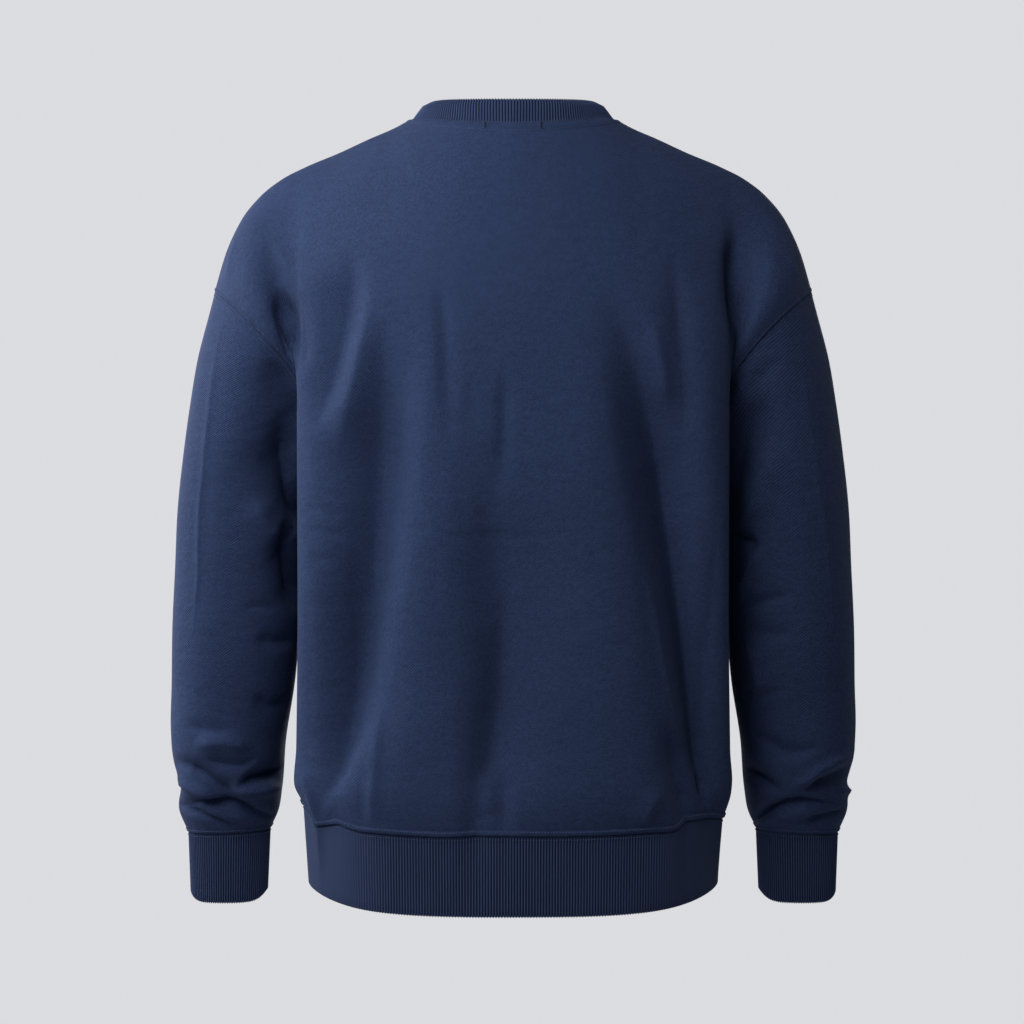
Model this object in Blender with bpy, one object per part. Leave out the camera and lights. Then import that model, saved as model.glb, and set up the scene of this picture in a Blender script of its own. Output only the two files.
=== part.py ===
"""Crewneck sweatshirt, hollow as when worn: two body panels, two sleeves, and ribs at neck, hem and wrists.

The origin is at the centre of the neck, level with the shoulders, where the wearer holds the garment up.
+Z is up, the garment's front faces -Y and the wearer's left arm is on +X. Sizes are in millimetres.
"""

import math
from collections import namedtuple

import bmesh
import bpy
import numpy as np

MM = 0.001

# Cloth.
FLEECE = 2.0
RIB = 2.4
RIB_RELIEF = 0.6
SEAM_GAP = 0.3
FLEECE_COLOUR = (0.032, 0.050, 0.105, 1.0)
RIB_COLOUR = (0.026, 0.041, 0.088, 1.0)
ROUGHNESS = 0.92
SHEEN = 0.2

# Facets, counted over a quarter of the neck, half of a panel's width, and a panel's height.
NECK_COLUMNS = 6
EDGE_COLUMN = 10
HALF_COLUMNS = 14
YOKE_ROWS = 10
TORSO_ROWS = 10
SLEEVE_ROWS = 19
SLEEVE_COLUMNS = 2 * YOKE_ROWS

# Ribs on each facet of the seam that a band is sewn to.
COLLAR_RIBS_BACK = 8
COLLAR_RIBS_FRONT = 10
HEM_RIBS = 9
CUFF_RIBS = 5

# Most ribs over one facet of a band's plain inside.
INNER_RIBS = 3

# Points on a line that is measured along its length.
LINE_SAMPLES = 361

# Neck opening, at the seam and at the collar's free edge.
NECK_HALF_WIDTH = 94.0
NECK_DROP = {1: 14.0, -1: 88.0}
DROP_POWER = {1: 2.0, -1: 1.5}
COLLAR_HALF_WIDTH = 75.0
COLLAR_SIDE_Z = 22.0
COLLAR_DEPTH = {1: 53.0, -1: 68.0}
COLLAR_DROP = {1: 4.6, -1: 83.0}
COLLAR_BOW = 1.5

# The ridge of the shoulders, from the centre line, which the neck opening is cut from, out to the
# tip where the dropped shoulder meets the sleeve.
Station = namedtuple("Station", "x z")
SHOULDER = (
    Station(0, 32),
    Station(50, 24),
    Station(94, 6),
    Station(105, 0),
    Station(129, -10.5),
    Station(156, -23),
    Station(187, -36),
    Station(209, -47.5),
    Station(229, -64),
    Station(245, -85),
    Station(258, -114),
    Station(268, -148),
)
FOLD_EDGE_X = 187.0
TIP = np.array((268.0, 0.0, -148.0))
UNDERARM = np.array((172.0, 0.0, -295.0))
Armhole = namedtuple("Armhole", "row depth")
ARMHOLE = (
    Armhole(0.0, 0),
    Armhole(0.1, 27),
    Armhole(0.2, 47),
    Armhole(0.3, 60),
    Armhole(0.4, 63),
    Armhole(0.5, 54),
    Armhole(0.6, 41),
    Armhole(0.7, 29),
    Armhole(0.8, 19),
    Armhole(0.9, 10),
    Armhole(1.0, 0),
)
ARMHOLE_SHARE = {1: 1.0, -1: 0.93}

# How soon a panel stands out from the shoulder's ridge on its way down to the underarm, the share
# of that way after which its level lines are as full as at the chest, and how its rows spread.
Rounding = namedtuple("Rounding", "fall out")
YOKE_ROUNDING = {1: Rounding(3.0, 0.6), -1: Rounding(2.2, 0.8)}
YOKE_FULL = 0.8
YOKE_SPREAD = 1.2

# The body below the arms: its widest line, the side seam that lies back from it, and the panels' depth.
Section = namedtuple("Section", "down edge_x edge_y seam_x back front")
TORSO = (
    Section(295, 187.0, 78.0, 172.0, 128.0, 122.0),
    Section(350, 187.0, 76.0, 169.0, 129.0, 124.0),
    Section(450, 187.5, 70.0, 180.0, 127.0, 124.0),
    Section(550, 190.0, 56.0, 189.5, 124.0, 122.0),
    Section(590, 191.5, 46.0, 191.0, 123.0, 121.0),
    Section(610, 185.5, 36.0, 185.0, 119.0, 118.0),
)
TORSO_POWER = 2.3
HEM_SEAM_SIDE = 610.0
HEM_SEAM_CENTRE = 620.0
HEM_HALF_WIDTH = 181.0
HEM_EDGE_Y = 30.0
HEM_DEPTH = {1: 117.0, -1: 116.0}
HEM_SIDE_Z = -672.5
HEM_CENTRE_Z = -690.0
HEM_CORNER_POWER = 5

# The sleeve's outer and inner lines, seen from the front, and how it swings forward as it goes down.
Line = namedtuple("Line", "down x")
SLEEVE_OUTER = (
    Line(148, 268),
    Line(173, 274.5),
    Line(205, 283),
    Line(250, 291),
    Line(295, 297.5),
    Line(340, 303),
    Line(395, 306.5),
    Line(450, 310),
    Line(500, 311.5),
    Line(545, 313),
    Line(570, 311.5),
    Line(598, 305),
    Line(615, 307.5),
    Line(639, 299.5),
)
SLEEVE_INNER = (
    Line(295, 172),
    Line(313, 185),
    Line(335, 189.5),
    Line(370, 191),
    Line(420, 193.5),
    Line(460, 196),
    Line(500, 200),
    Line(555, 209),
    Line(600, 213),
    Line(622, 217),
    Line(636, 223.5),
)
Swing = namedtuple("Swing", "down y")
SLEEVE_SWING = (Swing(148, 0), Swing(295, -10), Swing(450, -28), Swing(560, -41), Swing(640, -50))
Girth = namedtuple("Girth", "share depth")
SLEEVE_DEPTH = (
    Girth(0.0, 72),
    Girth(0.15, 66),
    Girth(0.4, 61),
    Girth(0.7, 59),
    Girth(0.9, 54),
    Girth(1.0, 34),
)
SLEEVE_POWER = 2.2
ARMHOLE_FADE = 0.35
CUFF_CENTRE = np.array((262.5, -56.0, -702.5))
CUFF_HALF_WIDTH = 35.5
CUFF_DEPTH = 33.0
CUFF_CORNER_RISE = 8.0
CUFF_CORNER_POWER = 6

# The largest folds. Each runs along its points (x, z) on the back (1) or the front (-1);
# a height above zero is a ridge, below zero a trough. A fold fades over a share of its length at
# each end, and on cloth that turns away from its side.
FOLD_FADE = 0.3
FOLD_FACING = 1.6
Fold = namedtuple("Fold", "side height width points")
FOLDS = (
    Fold(1, -9, 10, ((216, -90), (206, -130), (201, -165), (197, -205), (192, -240))),
    Fold(1, -9, 10, ((-216, -90), (-206, -130), (-201, -165), (-197, -205), (-192, -240))),
    Fold(-1, -7, 11, ((216, -100), (206, -140), (201, -175), (197, -210), (192, -245))),
    Fold(-1, -7, 11, ((-216, -100), (-206, -140), (-201, -175), (-197, -210), (-192, -245))),
    Fold(1, -5, 11, ((143, -123), (160, -165), (168, -216), (171, -267))),
    Fold(1, 5, 13, ((117, -157), (139, -216), (151, -276), (162, -330))),
    Fold(1, -7, 14, ((117, -191), (122, -242), (134, -348), (137, -403), (151, -470))),
    Fold(1, 8, 18, ((77, -191), (88, -250), (100, -386), (109, -437), (122, -530))),
    Fold(1, -4, 12, ((62, -161), (54, -216), (52, -290))),
    Fold(1, -6, 18, ((9, -250), (11, -301), (15, -361), (28, -510), (37, -590))),
    Fold(1, -11, 20, ((-82, -180), (-95, -255), (-121, -386), (-138, -446), (-163, -565))),
    Fold(1, 6, 14, ((-132, -240), (-150, -335), (-166, -440), (-169, -530))),
    Fold(1, -6, 11, ((-138, -150), (-142, -216), (-150, -290))),
    Fold(1, 4, 18, ((-100, -480), (-112, -540), (-118, -600))),
    Fold(-1, 7, 18, ((-92, -200), (-100, -290), (-112, -400), (-118, -520))),
    Fold(-1, -7, 16, ((-128, -180), (-138, -270), (-146, -360), (-150, -450))),
    Fold(-1, -6, 20, ((-14, -270), (-10, -360), (-2, -460), (6, -580))),
    Fold(-1, -9, 20, ((78, -190), (92, -280), (112, -390), (134, -540))),
    Fold(-1, 6, 14, ((126, -230), (142, -330), (160, -470))),
    Fold(1, -6, 14, ((302, -566), (276, -582), (250, -598))),
    Fold(1, -5, 12, ((222, -602), (244, -612), (268, -620))),
    Fold(1, -4, 14, ((252, -300), (246, -350), (240, -410))),
    Fold(1, -6, 13, ((-216, -588), (-240, -604), (-284, -606))),
    Fold(1, -5, 14, ((-300, -560), (-276, -578), (-250, -586))),
    Fold(1, -4, 14, ((-226, -330), (-232, -380), (-230, -440))),
    Fold(-1, -6, 14, ((304, -578), (270, -598), (230, -590))),
    Fold(-1, -5, 16, ((226, -330), (244, -380), (262, -410))),
    Fold(-1, -6, 14, ((-304, -590), (-268, -604), (-226, -584))),
    Fold(-1, -5, 16, ((-228, -320), (-248, -366), (-270, -390))),
)


# ---- Curves ----


def smooth(at, stations, values):
    """A soft curve through values at stations, which rise."""
    stations = np.asarray(stations, float)
    values = np.asarray(values, float)
    slopes = np.gradient(values, stations)
    i = np.clip(np.searchsorted(stations, at) - 1, 0, len(stations) - 2)
    step = stations[i + 1] - stations[i]
    f = (at - stations[i]) / step
    start = (2 * f**3 - 3 * f**2 + 1) * values[i] + (f**3 - 2 * f**2 + f) * step * slopes[i]
    end = (3 * f**2 - 2 * f**3) * values[i + 1] + (f**3 - f**2) * step * slopes[i + 1]
    return start + end


def ease(share):
    """A share from 0 to 1 that starts and ends level."""
    share = np.clip(share, 0, 1)
    return share * share * (3 - 2 * share)


def by_length(share, *axes):
    """The points of a dense line at these shares of its length."""
    steps = np.sqrt(sum(np.diff(axis) ** 2 for axis in axes))
    length = np.concatenate(([0], np.cumsum(steps)))
    return [np.interp(share, length / length[-1], axis) for axis in axes]


def quarter(share, width, depth, power):
    """A quarter of a rounded oval, from (0, depth) to (width, 0)."""
    angle = np.linspace(0, math.pi / 2, LINE_SAMPLES)
    x = width * np.sin(angle) ** (2 / power)
    y = depth * np.cos(angle).clip(0) ** (2 / power)
    return by_length(share, x, y)


def column(table, name):
    return [getattr(row, name) for row in table]


def stack(x, y, z):
    return np.stack(np.broadcast_arrays(x, y, z), axis=-1)


# ---- Body ----


def ridge_z(x):
    return smooth(x, column(SHOULDER, "x"), column(SHOULDER, "z"))


def yoke_surface(x, fall, side):
    """The panel over the shoulders, from the ridge (fall 0) to the underarm's height (1)."""
    chest = TORSO[0]
    depth = chest.back if side == 1 else chest.front
    across = np.clip(x / chest.edge_x, 0, 1)
    full = ease(fall / YOKE_FULL)
    bow = (1 - full) * (1 - across**2) + full * (1 - across**TORSO_POWER) ** (1 / TORSO_POWER)
    out = rounded(fall, side) * (chest.edge_y + (depth - chest.edge_y) * bow)
    return stack(x, side * out, ridge_z(x) - fall * (ridge_z(x) + chest.down))


def rounded(fall, side):
    """How far the panel stands out, from the shoulder's ridge (0) to its full depth (1)."""
    shape = YOKE_ROUNDING[side]
    return (1 - (1 - np.clip(fall, 0, 1)) ** shape.fall) ** shape.out


def neck_cut(share, side):
    """Where the neck opening is cut, from its centre (0) to the shoulder (1): x, and fall from the ridge."""
    x = NECK_HALF_WIDTH * np.sin(math.pi / 2 * share)
    drop = NECK_DROP[side] * np.cos(math.pi / 2 * share).clip(0) ** DROP_POWER[side]
    z = ridge_z(NECK_HALF_WIDTH) - drop
    return x, (ridge_z(x) - z) / (ridge_z(x) + TORSO[0].down)


def neck_seam(share, side):
    x, fall = neck_cut(share, side)
    return yoke_surface(x, fall, side)


def shoulder_seam(share):
    """The shoulder from the neck (0) past the body's fold edge (0.5) to the tip (1)."""
    x = np.linspace(NECK_HALF_WIDTH, TIP[0], LINE_SAMPLES)
    z = ridge_z(x)
    inner = x <= FOLD_EDGE_X
    inner_x, inner_z = by_length(np.clip(2 * share, 0, 1), x[inner], z[inner])
    outer_x, outer_z = by_length(np.clip(2 * share - 1, 0, 1), x[~inner], z[~inner])
    first = share <= 0.5
    return stack(np.where(first, inner_x, outer_x), 0, np.where(first, inner_z, outer_z))


def armhole(row, side):
    """The armhole seam from the shoulder's tip (0) to the underarm (1)."""
    fall = (1 - np.cos(math.pi * row)) / 2
    x = UNDERARM[0] + (TIP[0] - UNDERARM[0]) * (1 - fall) ** 2
    y = side * ARMHOLE_SHARE[side] * smooth(row, *zip(*ARMHOLE))
    return stack(x, y, TIP[2] + (UNDERARM[2] - TIP[2]) * fall)


def body_ring(down, side, width_share):
    """A level line around half a panel, from its centre (0) over the fold edge to the side seam (1)."""
    stations = column(TORSO, "down")
    edge_x = smooth(down, stations, column(TORSO, "edge_x"))
    edge_y = smooth(down, stations, column(TORSO, "edge_y"))
    seam_x = smooth(down, stations, column(TORSO, "seam_x"))
    depth = smooth(down, stations, column(TORSO, "back" if side == 1 else "front"))
    across = np.clip(width_share * HALF_COLUMNS / EDGE_COLUMN, 0, 1)
    x, y = quarter(across, edge_x, depth - edge_y, TORSO_POWER)
    turn = np.clip((width_share * HALF_COLUMNS - EDGE_COLUMN) / (HALF_COLUMNS - EDGE_COLUMN), 0, 1)
    x = np.where(turn > 0, seam_x + (edge_x - seam_x) * (1 + np.cos(math.pi * turn)) / 2, x)
    return x, side * (y + edge_y * (1 - turn))


def torso_point(width_share, fall, side):
    """Points below the arms: fall runs from the underarm (0) to the hem seam (1)."""
    top = TORSO[0].down
    x, y = body_ring(top + fall * (TORSO[-1].down - top), side, width_share)
    seam = HEM_SEAM_SIDE + (HEM_SEAM_CENTRE - HEM_SEAM_SIDE) * np.cos(math.pi / 2 * width_share) ** 2
    return stack(x, y, -(top + fall * (seam - top)))


def yoke_point(width_share, row, side):
    """Points above the underarm: row runs from the shoulder and neck seams (0) to the underarm (1)."""
    columns = width_share * HALF_COLUMNS
    fall = (ease(row) + row**YOKE_SPREAD) / 2
    past_neck = np.clip((columns - NECK_COLUMNS) / (HALF_COLUMNS - NECK_COLUMNS), 0, 1)
    top = shoulder_seam(past_neck)
    chest = torso_point(width_share, 0.0, side)
    cut_x, cut_fall = neck_cut(np.clip(columns / NECK_COLUMNS, 0, 1), side)
    start_x = np.where(columns < NECK_COLUMNS, cut_x, top[:, 0])
    start_fall = np.where(columns < NECK_COLUMNS, cut_fall, 0)
    x = start_x + (chest[:, 0] - start_x) * ease(fall)
    middle = yoke_surface(x, start_fall + (1 - start_fall) * fall, side)

    blend = np.array((ease(fall), rounded(fall, side), fall))
    turn = np.clip((columns - EDGE_COLUMN) / (HALF_COLUMNS - EDGE_COLUMN), 0, 1)
    arm_shift = armhole(row, side) - (TIP + (UNDERARM - TIP) * blend)
    outside = top + (chest - top) * blend + ease(turn)[:, None] * arm_shift
    return np.where((columns <= EDGE_COLUMN)[:, None], middle, outside)


def panel(side, half_columns=HALF_COLUMNS):
    """A body panel's outer points: a row across for each level, from the wearer's right to the left."""
    width_share = np.linspace(0, 1, half_columns + 1)
    rows = [yoke_point(width_share, row, side) for row in np.linspace(0, 1, YOKE_ROWS + 1)]
    falls = np.linspace(0, 1, TORSO_ROWS + 1)[1:]
    rows += [torso_point(width_share, fall, side) for fall in falls]
    half = np.array(rows)
    mirrored = half[:, :0:-1] * (-1, 1, 1)
    return np.concatenate((mirrored, half), axis=1)


# ---- Sleeves and bands ----


def sleeve_ring(length_share, angle):
    """A ring of the left sleeve: angle 0 is its outer line, and a quarter turn further its back."""
    outer_down = SLEEVE_OUTER[0].down + length_share * (SLEEVE_OUTER[-1].down - SLEEVE_OUTER[0].down)
    inner_down = SLEEVE_INNER[0].down + length_share * (SLEEVE_INNER[-1].down - SLEEVE_INNER[0].down)
    swing = [smooth(down, *zip(*SLEEVE_SWING)) for down in (outer_down, inner_down)]
    outer = np.array((smooth(outer_down, *zip(*SLEEVE_OUTER)), swing[0], -outer_down))
    inner = np.array((smooth(inner_down, *zip(*SLEEVE_INNER)), swing[1], -inner_down))
    depth = smooth(length_share, *zip(*SLEEVE_DEPTH))
    return oval(angle, (outer + inner) / 2, (outer - inner) / 2, depth, SLEEVE_POWER)


def oval(angle, centre, half_width, depth, power):
    """A rounded oval about centre, through half_width at angle 0 and depth a quarter turn on."""
    cos = np.sign(np.cos(angle)) * np.abs(np.cos(angle)) ** (2 / power)
    sin = np.sign(np.sin(angle)) * np.abs(np.sin(angle)) ** (2 / power)
    return centre + cos[:, None] * half_width + sin[:, None] * np.array((0.0, depth, 0.0))


def sleeve(columns=SLEEVE_COLUMNS, rows=SLEEVE_ROWS):
    """The left sleeve's outer points, ring by ring from the armhole to the cuff."""
    angle = np.linspace(0, 2 * math.pi, columns, endpoint=False)
    back = angle <= math.pi
    row = np.where(back, angle, 2 * math.pi - angle) / math.pi
    seam = np.where(back[:, None], armhole(row, 1), armhole(row, -1))
    shift = seam - sleeve_ring(0.0, angle)
    shares = np.linspace(0, 1, rows + 1)
    return np.array([sleeve_ring(f, angle) + (1 - ease(f / ARMHOLE_FADE)) * shift for f in shares])


def cuff(columns=SLEEVE_COLUMNS):
    """The left cuff's two outer rings."""
    angle = np.linspace(0, 2 * math.pi, columns, endpoint=False)
    across = np.array((CUFF_HALF_WIDTH, 0.0, 0.0))
    edge = oval(angle, CUFF_CENTRE, across, CUFF_DEPTH, SLEEVE_POWER)
    edge[:, 2] += CUFF_CORNER_RISE * np.cos(angle) ** CUFF_CORNER_POWER
    return np.array([sleeve_ring(1.0, angle), edge])


def round_trip(half_back, half_front):
    """Joins two quarter lines, each from the centre to +X, into a closed ring that starts at the back."""
    left = np.concatenate((half_back, half_front[-2::-1]))
    return np.concatenate((left, left[-2:0:-1] * (-1, 1, 1)))


def collar_edge(share, side):
    """The collar's free edge, from its centre (0) to the shoulder (1)."""
    angle = math.pi / 2 * share
    drop = COLLAR_DROP[side] * np.cos(angle).clip(0) ** DROP_POWER[side]
    x = COLLAR_HALF_WIDTH * np.sin(angle)
    return stack(x, side * COLLAR_DEPTH[side] * np.cos(angle), COLLAR_SIDE_Z - drop)


def collar_rings(share_back, share_front):
    """The neck rib's rings: at its seam, halfway and at its free edge."""
    rings = [
        round_trip(line(share_back, 1), line(share_front, -1)) for line in (neck_seam, collar_edge)
    ]
    middle = (rings[0] + rings[1]) / 2
    out = middle * (1, 1, 0)
    middle = middle + COLLAR_BOW * unit(out)
    return np.array((rings[0], middle, rings[1]))


def hem_edge(width_share, side):
    """The hem rib's free edge, from the centre of a panel (0) to the side (1)."""
    across = np.clip(width_share * HALF_COLUMNS / EDGE_COLUMN, 0, 1)
    x, y = quarter(across, HEM_HALF_WIDTH, HEM_DEPTH[side] - HEM_EDGE_Y, TORSO_POWER)
    turn = np.clip((width_share * HALF_COLUMNS - EDGE_COLUMN) / (HALF_COLUMNS - EDGE_COLUMN), 0, 1)
    rise = (HEM_SIDE_Z - HEM_CENTRE_Z) * (x / HEM_HALF_WIDTH) ** HEM_CORNER_POWER
    return stack(x, side * (y + HEM_EDGE_Y * (1 - turn)), HEM_CENTRE_Z + rise)


def hem_rings(width_share):
    """The hem rib's rings: at its seam and at its free edge."""
    seam = round_trip(torso_point(width_share, 1.0, 1), torso_point(width_share, 1.0, -1))
    edge = round_trip(hem_edge(width_share, 1), hem_edge(width_share, -1))
    return np.array((seam, edge))


# ---- Folds and walls ----


def fold_height(points, normals):
    """How far each point lies out along its normal, from all the folds near it."""
    flat = points[..., ::2]
    height = np.zeros(points.shape[:-1])
    for fold in FOLDS:
        path = np.array(fold.points, float)
        nearest = np.full(height.shape, np.inf)
        along = np.zeros(height.shape)
        for i, (start, end) in enumerate(zip(path[:-1], path[1:])):
            line = end - start
            share = np.clip(((flat - start) @ line) / (line @ line), 0, 1)
            away = np.linalg.norm(flat - start - share[..., None] * line, axis=-1)
            along = np.where(away < nearest, (i + share) / (len(path) - 1), along)
            nearest = np.minimum(nearest, away)
        fade = ease(np.minimum(along, 1 - along) / FOLD_FADE)
        facing = np.clip(FOLD_FACING * fold.side * normals[..., 1], 0, 1)
        height += fold.height * fade * facing * np.exp(-((nearest / fold.width) ** 2))
    return height


def face_normals(grid, closed):
    """Each facet's area normal, for a grid that is closed into a tube or open."""
    if closed:
        grid = np.concatenate((grid, grid[:, :1]), axis=1)
    diagonal = grid[1:, 1:] - grid[:-1, :-1]
    other = grid[1:, :-1] - grid[:-1, 1:]
    return np.cross(other, diagonal)


def unit(vectors):
    return vectors / np.linalg.norm(vectors, axis=-1, keepdims=True)


def shared_normals(grids):
    """Normals of the pieces' points, the same for all pieces that meet at a point.

    Body and sleeve count alike where they meet, and in the sharp pocket under the arm the way to
    the facets around a seam point is added, because there the two normals all but cancel.
    """
    found = {}
    for grid, closed, flip, group in grids:
        facets = unit(face_normals(grid, closed) * flip)
        columns = grid.shape[1]
        for i in range(facets.shape[0]):
            for j in range(facets.shape[1]):
                corners = [(i + di, (j + dj) % columns) for di, dj in ((0, 0), (0, 1), (1, 0), (1, 1))]
                middle = sum(grid[corner] for corner in corners) / 4
                for corner in corners:
                    around = found.setdefault(point_key(grid[corner]), {})
                    facet = np.array((facets[i, j], unit(middle - grid[corner]), np.ones(3)))
                    around[group] = around.get(group, 0) + facet
    normals = []
    for grid, closed, flip, group in grids:
        flat = [meeting_normal(found[point_key(point)].values()) for point in grid.reshape(-1, 3)]
        normals.append(unit(np.array(flat)).reshape(grid.shape))
    return normals


def point_key(point):
    return tuple(np.round(point, 3) + 0.0)


def meeting_normal(groups):
    normal = sum(unit(facing) for facing, way, count in groups)
    if len(groups) > 1:
        normal = normal + sum(way / count for facing, way, count in groups)
    return normal


def draw_back(outer, inner, closed):
    """Draws a wall's open edges back from the seams, by half the gap between two pieces."""
    rows, columns = outer.shape[:2]
    shift = np.zeros(outer.shape)
    for i in range(rows):
        for j in range(columns):
            on_side = not closed and j in (0, columns - 1)
            on_end = i in (0, rows - 1)
            if not on_side and not on_end:
                continue
            ways = []
            for k, m in ((i - 1, j - 1), (i - 1, j), (i, j - 1), (i, j)):
                if 0 <= k < rows - 1 and (closed or 0 <= m < columns - 1):
                    after = (m + 1) % columns
                    middle = outer[k, m] + outer[k + 1, m] + outer[k, after] + outer[k + 1, after]
                    ways.append(unit(middle / 4 - outer[i, j]))
            way = sum(ways)
            if on_side and on_end:
                shift[i, j] = way * math.sqrt(2)
                continue
            if on_side:
                along = unit(outer[i + 1, j] - outer[i - 1, j])
            else:
                along = unit(outer[i, (j + 1) % columns] - outer[i, j - 1])
            shift[i, j] = unit(way - (way @ along) * along)
    shift *= SEAM_GAP / 2
    return outer + shift, inner + shift


def facet_halves(points, a, b, c, d):
    """The two triangles of a four-sided facet, cut along its shorter diagonal."""
    if np.linalg.norm(points[a] - points[c]) <= np.linalg.norm(points[b] - points[d]):
        return (a, b, c), (a, c, d)
    return (a, b, d), (b, c, d)


def wall_mesh(name, outer, inner, closed):
    """A closed wall between two grids of points.

    Its two sides are cut along the same diagonals, and so are the rims of two walls that meet.
    """
    rows, columns = outer.shape[:2]
    points = np.concatenate((outer.reshape(-1, 3), inner.reshape(-1, 3))) * MM
    count = rows * columns
    faces = []
    for i in range(rows - 1):
        for j in range(columns if closed else columns - 1):
            k = (j + 1) % columns
            above, below = i * columns, (i + 1) * columns
            for half in facet_halves(points, above + j, above + k, below + k, below + j):
                faces.append(half)
                faces.append([count + corner for corner in reversed(half)])
    top = [(0, j) for j in range(columns)]
    bottom = [(rows - 1, j) for j in range(columns)]
    if closed:
        loops = [top + top[:1], bottom[::-1] + bottom[-1:]]
    else:
        right = [(i, columns - 1) for i in range(rows)]
        left = [(i, 0) for i in range(rows)]
        loops = [top + right[1:] + bottom[-2::-1] + left[-2::-1]]
    for loop in loops:
        for (i, j), (m, n) in zip(loop[:-1], loop[1:]):
            a, b = i * columns + j, m * columns + n
            faces.extend(facet_halves(points, b, a, count + a, count + b))
    mesh = bpy.data.meshes.new(name)
    mesh.from_pydata(points.tolist(), [], faces)
    return mesh


def rib_mesh(name, outer, inner, steps):
    """A closed band: ribbed outer rings over plain inner rings, steps[k] outer points to inner facet k."""
    fine = outer.shape[1]
    coarse = inner.shape[1]
    points = np.concatenate((outer.reshape(-1, 3), inner.reshape(-1, 3))) * MM
    start = outer.shape[0] * fine
    faces = []
    for i in range(outer.shape[0] - 1):
        for j in range(fine):
            k = (j + 1) % fine
            faces.append((i * fine + j, i * fine + k, (i + 1) * fine + k, (i + 1) * fine + j))
        for j in range(coarse):
            k = (j + 1) % coarse
            a, b = start + i * coarse + j, start + i * coarse + k
            faces.append((b, a, a + coarse, b + coarse))
    for ring, turn in ((0, 1), (outer.shape[0] - 1, -1)):
        first = 0
        for facet, count in enumerate(steps):
            near = start + ring * coarse + facet
            far = start + ring * coarse + (facet + 1) % coarse
            half = first + count // 2
            for j in range(first, first + count):
                a, b = ring * fine + j, ring * fine + (j + 1) % fine
                faces.append((b, a, near if j < half else far)[::turn])
            faces.append((ring * fine + half % fine, near, far)[::turn])
            first += count
    mesh = bpy.data.meshes.new(name)
    mesh.from_pydata(points.tolist(), [], faces)
    return mesh


def ring_normals(rings):
    """Outward normals of a band's rings."""
    facets = face_normals(rings, True)
    facets = facets + np.roll(facets, 1, axis=1)
    normals = np.concatenate((facets[:1], facets))
    normals[1:-1] = facets[1:] + facets[:-1]
    normals = unit(normals)
    outward = ((rings - rings.mean(axis=(0, 1))) * normals).sum() > 0
    return normals if outward else -normals


# ---- Scene ----


def clear_scene():
    for obj in list(bpy.data.objects):
        bpy.data.objects.remove(obj)


def material(name, colour):
    made = bpy.data.materials.new(name)
    made.use_nodes = True
    shader = made.node_tree.nodes["Principled BSDF"]
    shader.inputs["Base Color"].default_value = colour
    shader.inputs["Roughness"].default_value = ROUGHNESS
    shader.inputs["Metallic"].default_value = 0.0
    shader.inputs["Sheen Weight"].default_value = SHEEN
    made.diffuse_color = colour
    return made


def place(mesh, colour, parts, wearer):
    made = bpy.data.objects.new(mesh.name, mesh)
    mesh.materials.append(material(mesh.name, colour))
    parts.objects.link(made)
    made.parent = wearer
    solid = bmesh.new()
    solid.from_mesh(mesh)
    bmesh.ops.recalc_face_normals(solid, faces=solid.faces)
    solid.to_mesh(mesh)
    solid.free()
    return made


def cloth(name, grid, normals, closed, parts, wearer):
    outer, inner = draw_back(grid, grid - FLEECE * normals, closed)
    return place(wall_mesh(name, outer, inner, closed), FLEECE_COLOUR, parts, wearer)


def band(name, rings, seam, seam_normals, ribs, parts, wearer):
    """A rib band: its seam ring follows the panel's facets, and facet k of the seam carries ribs[k] ribs."""
    facet = np.repeat(np.arange(len(ribs)), 2 * np.array(ribs))
    share = np.concatenate([np.arange(2 * count) / (2 * count) for count in ribs])[:, None]
    after = (facet + 1) % len(ribs)
    normals = ring_normals(rings)
    rings[0] = seam[facet] * (1 - share) + seam[after] * share
    normals[0] = seam_normals[facet] * (1 - share) + seam_normals[after] * share
    rings[0] += SEAM_GAP / 2 * unit(rings[1] - rings[0])

    steps = []
    for count in ribs:
        parted = math.ceil(count / INNER_RIBS)
        marks = np.round(np.linspace(0, 2 * count, parted + 1)).astype(int)
        steps += np.diff(marks).tolist()
    picked = np.concatenate(([0], np.cumsum(steps)[:-1]))
    inner = rings[:, picked] - RIB * normals[:, picked]
    outer = rings.copy()
    outer[:, 1::2] -= RIB_RELIEF * normals[:, 1::2]
    return place(rib_mesh(name, outer, inner, steps), RIB_COLOUR, parts, wearer)


def quarter_shares(columns, per_column):
    """Even shares from 0 to 1, with per_column points on each of a quarter's columns."""
    return np.linspace(0, 1, columns * per_column + 1)


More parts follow.
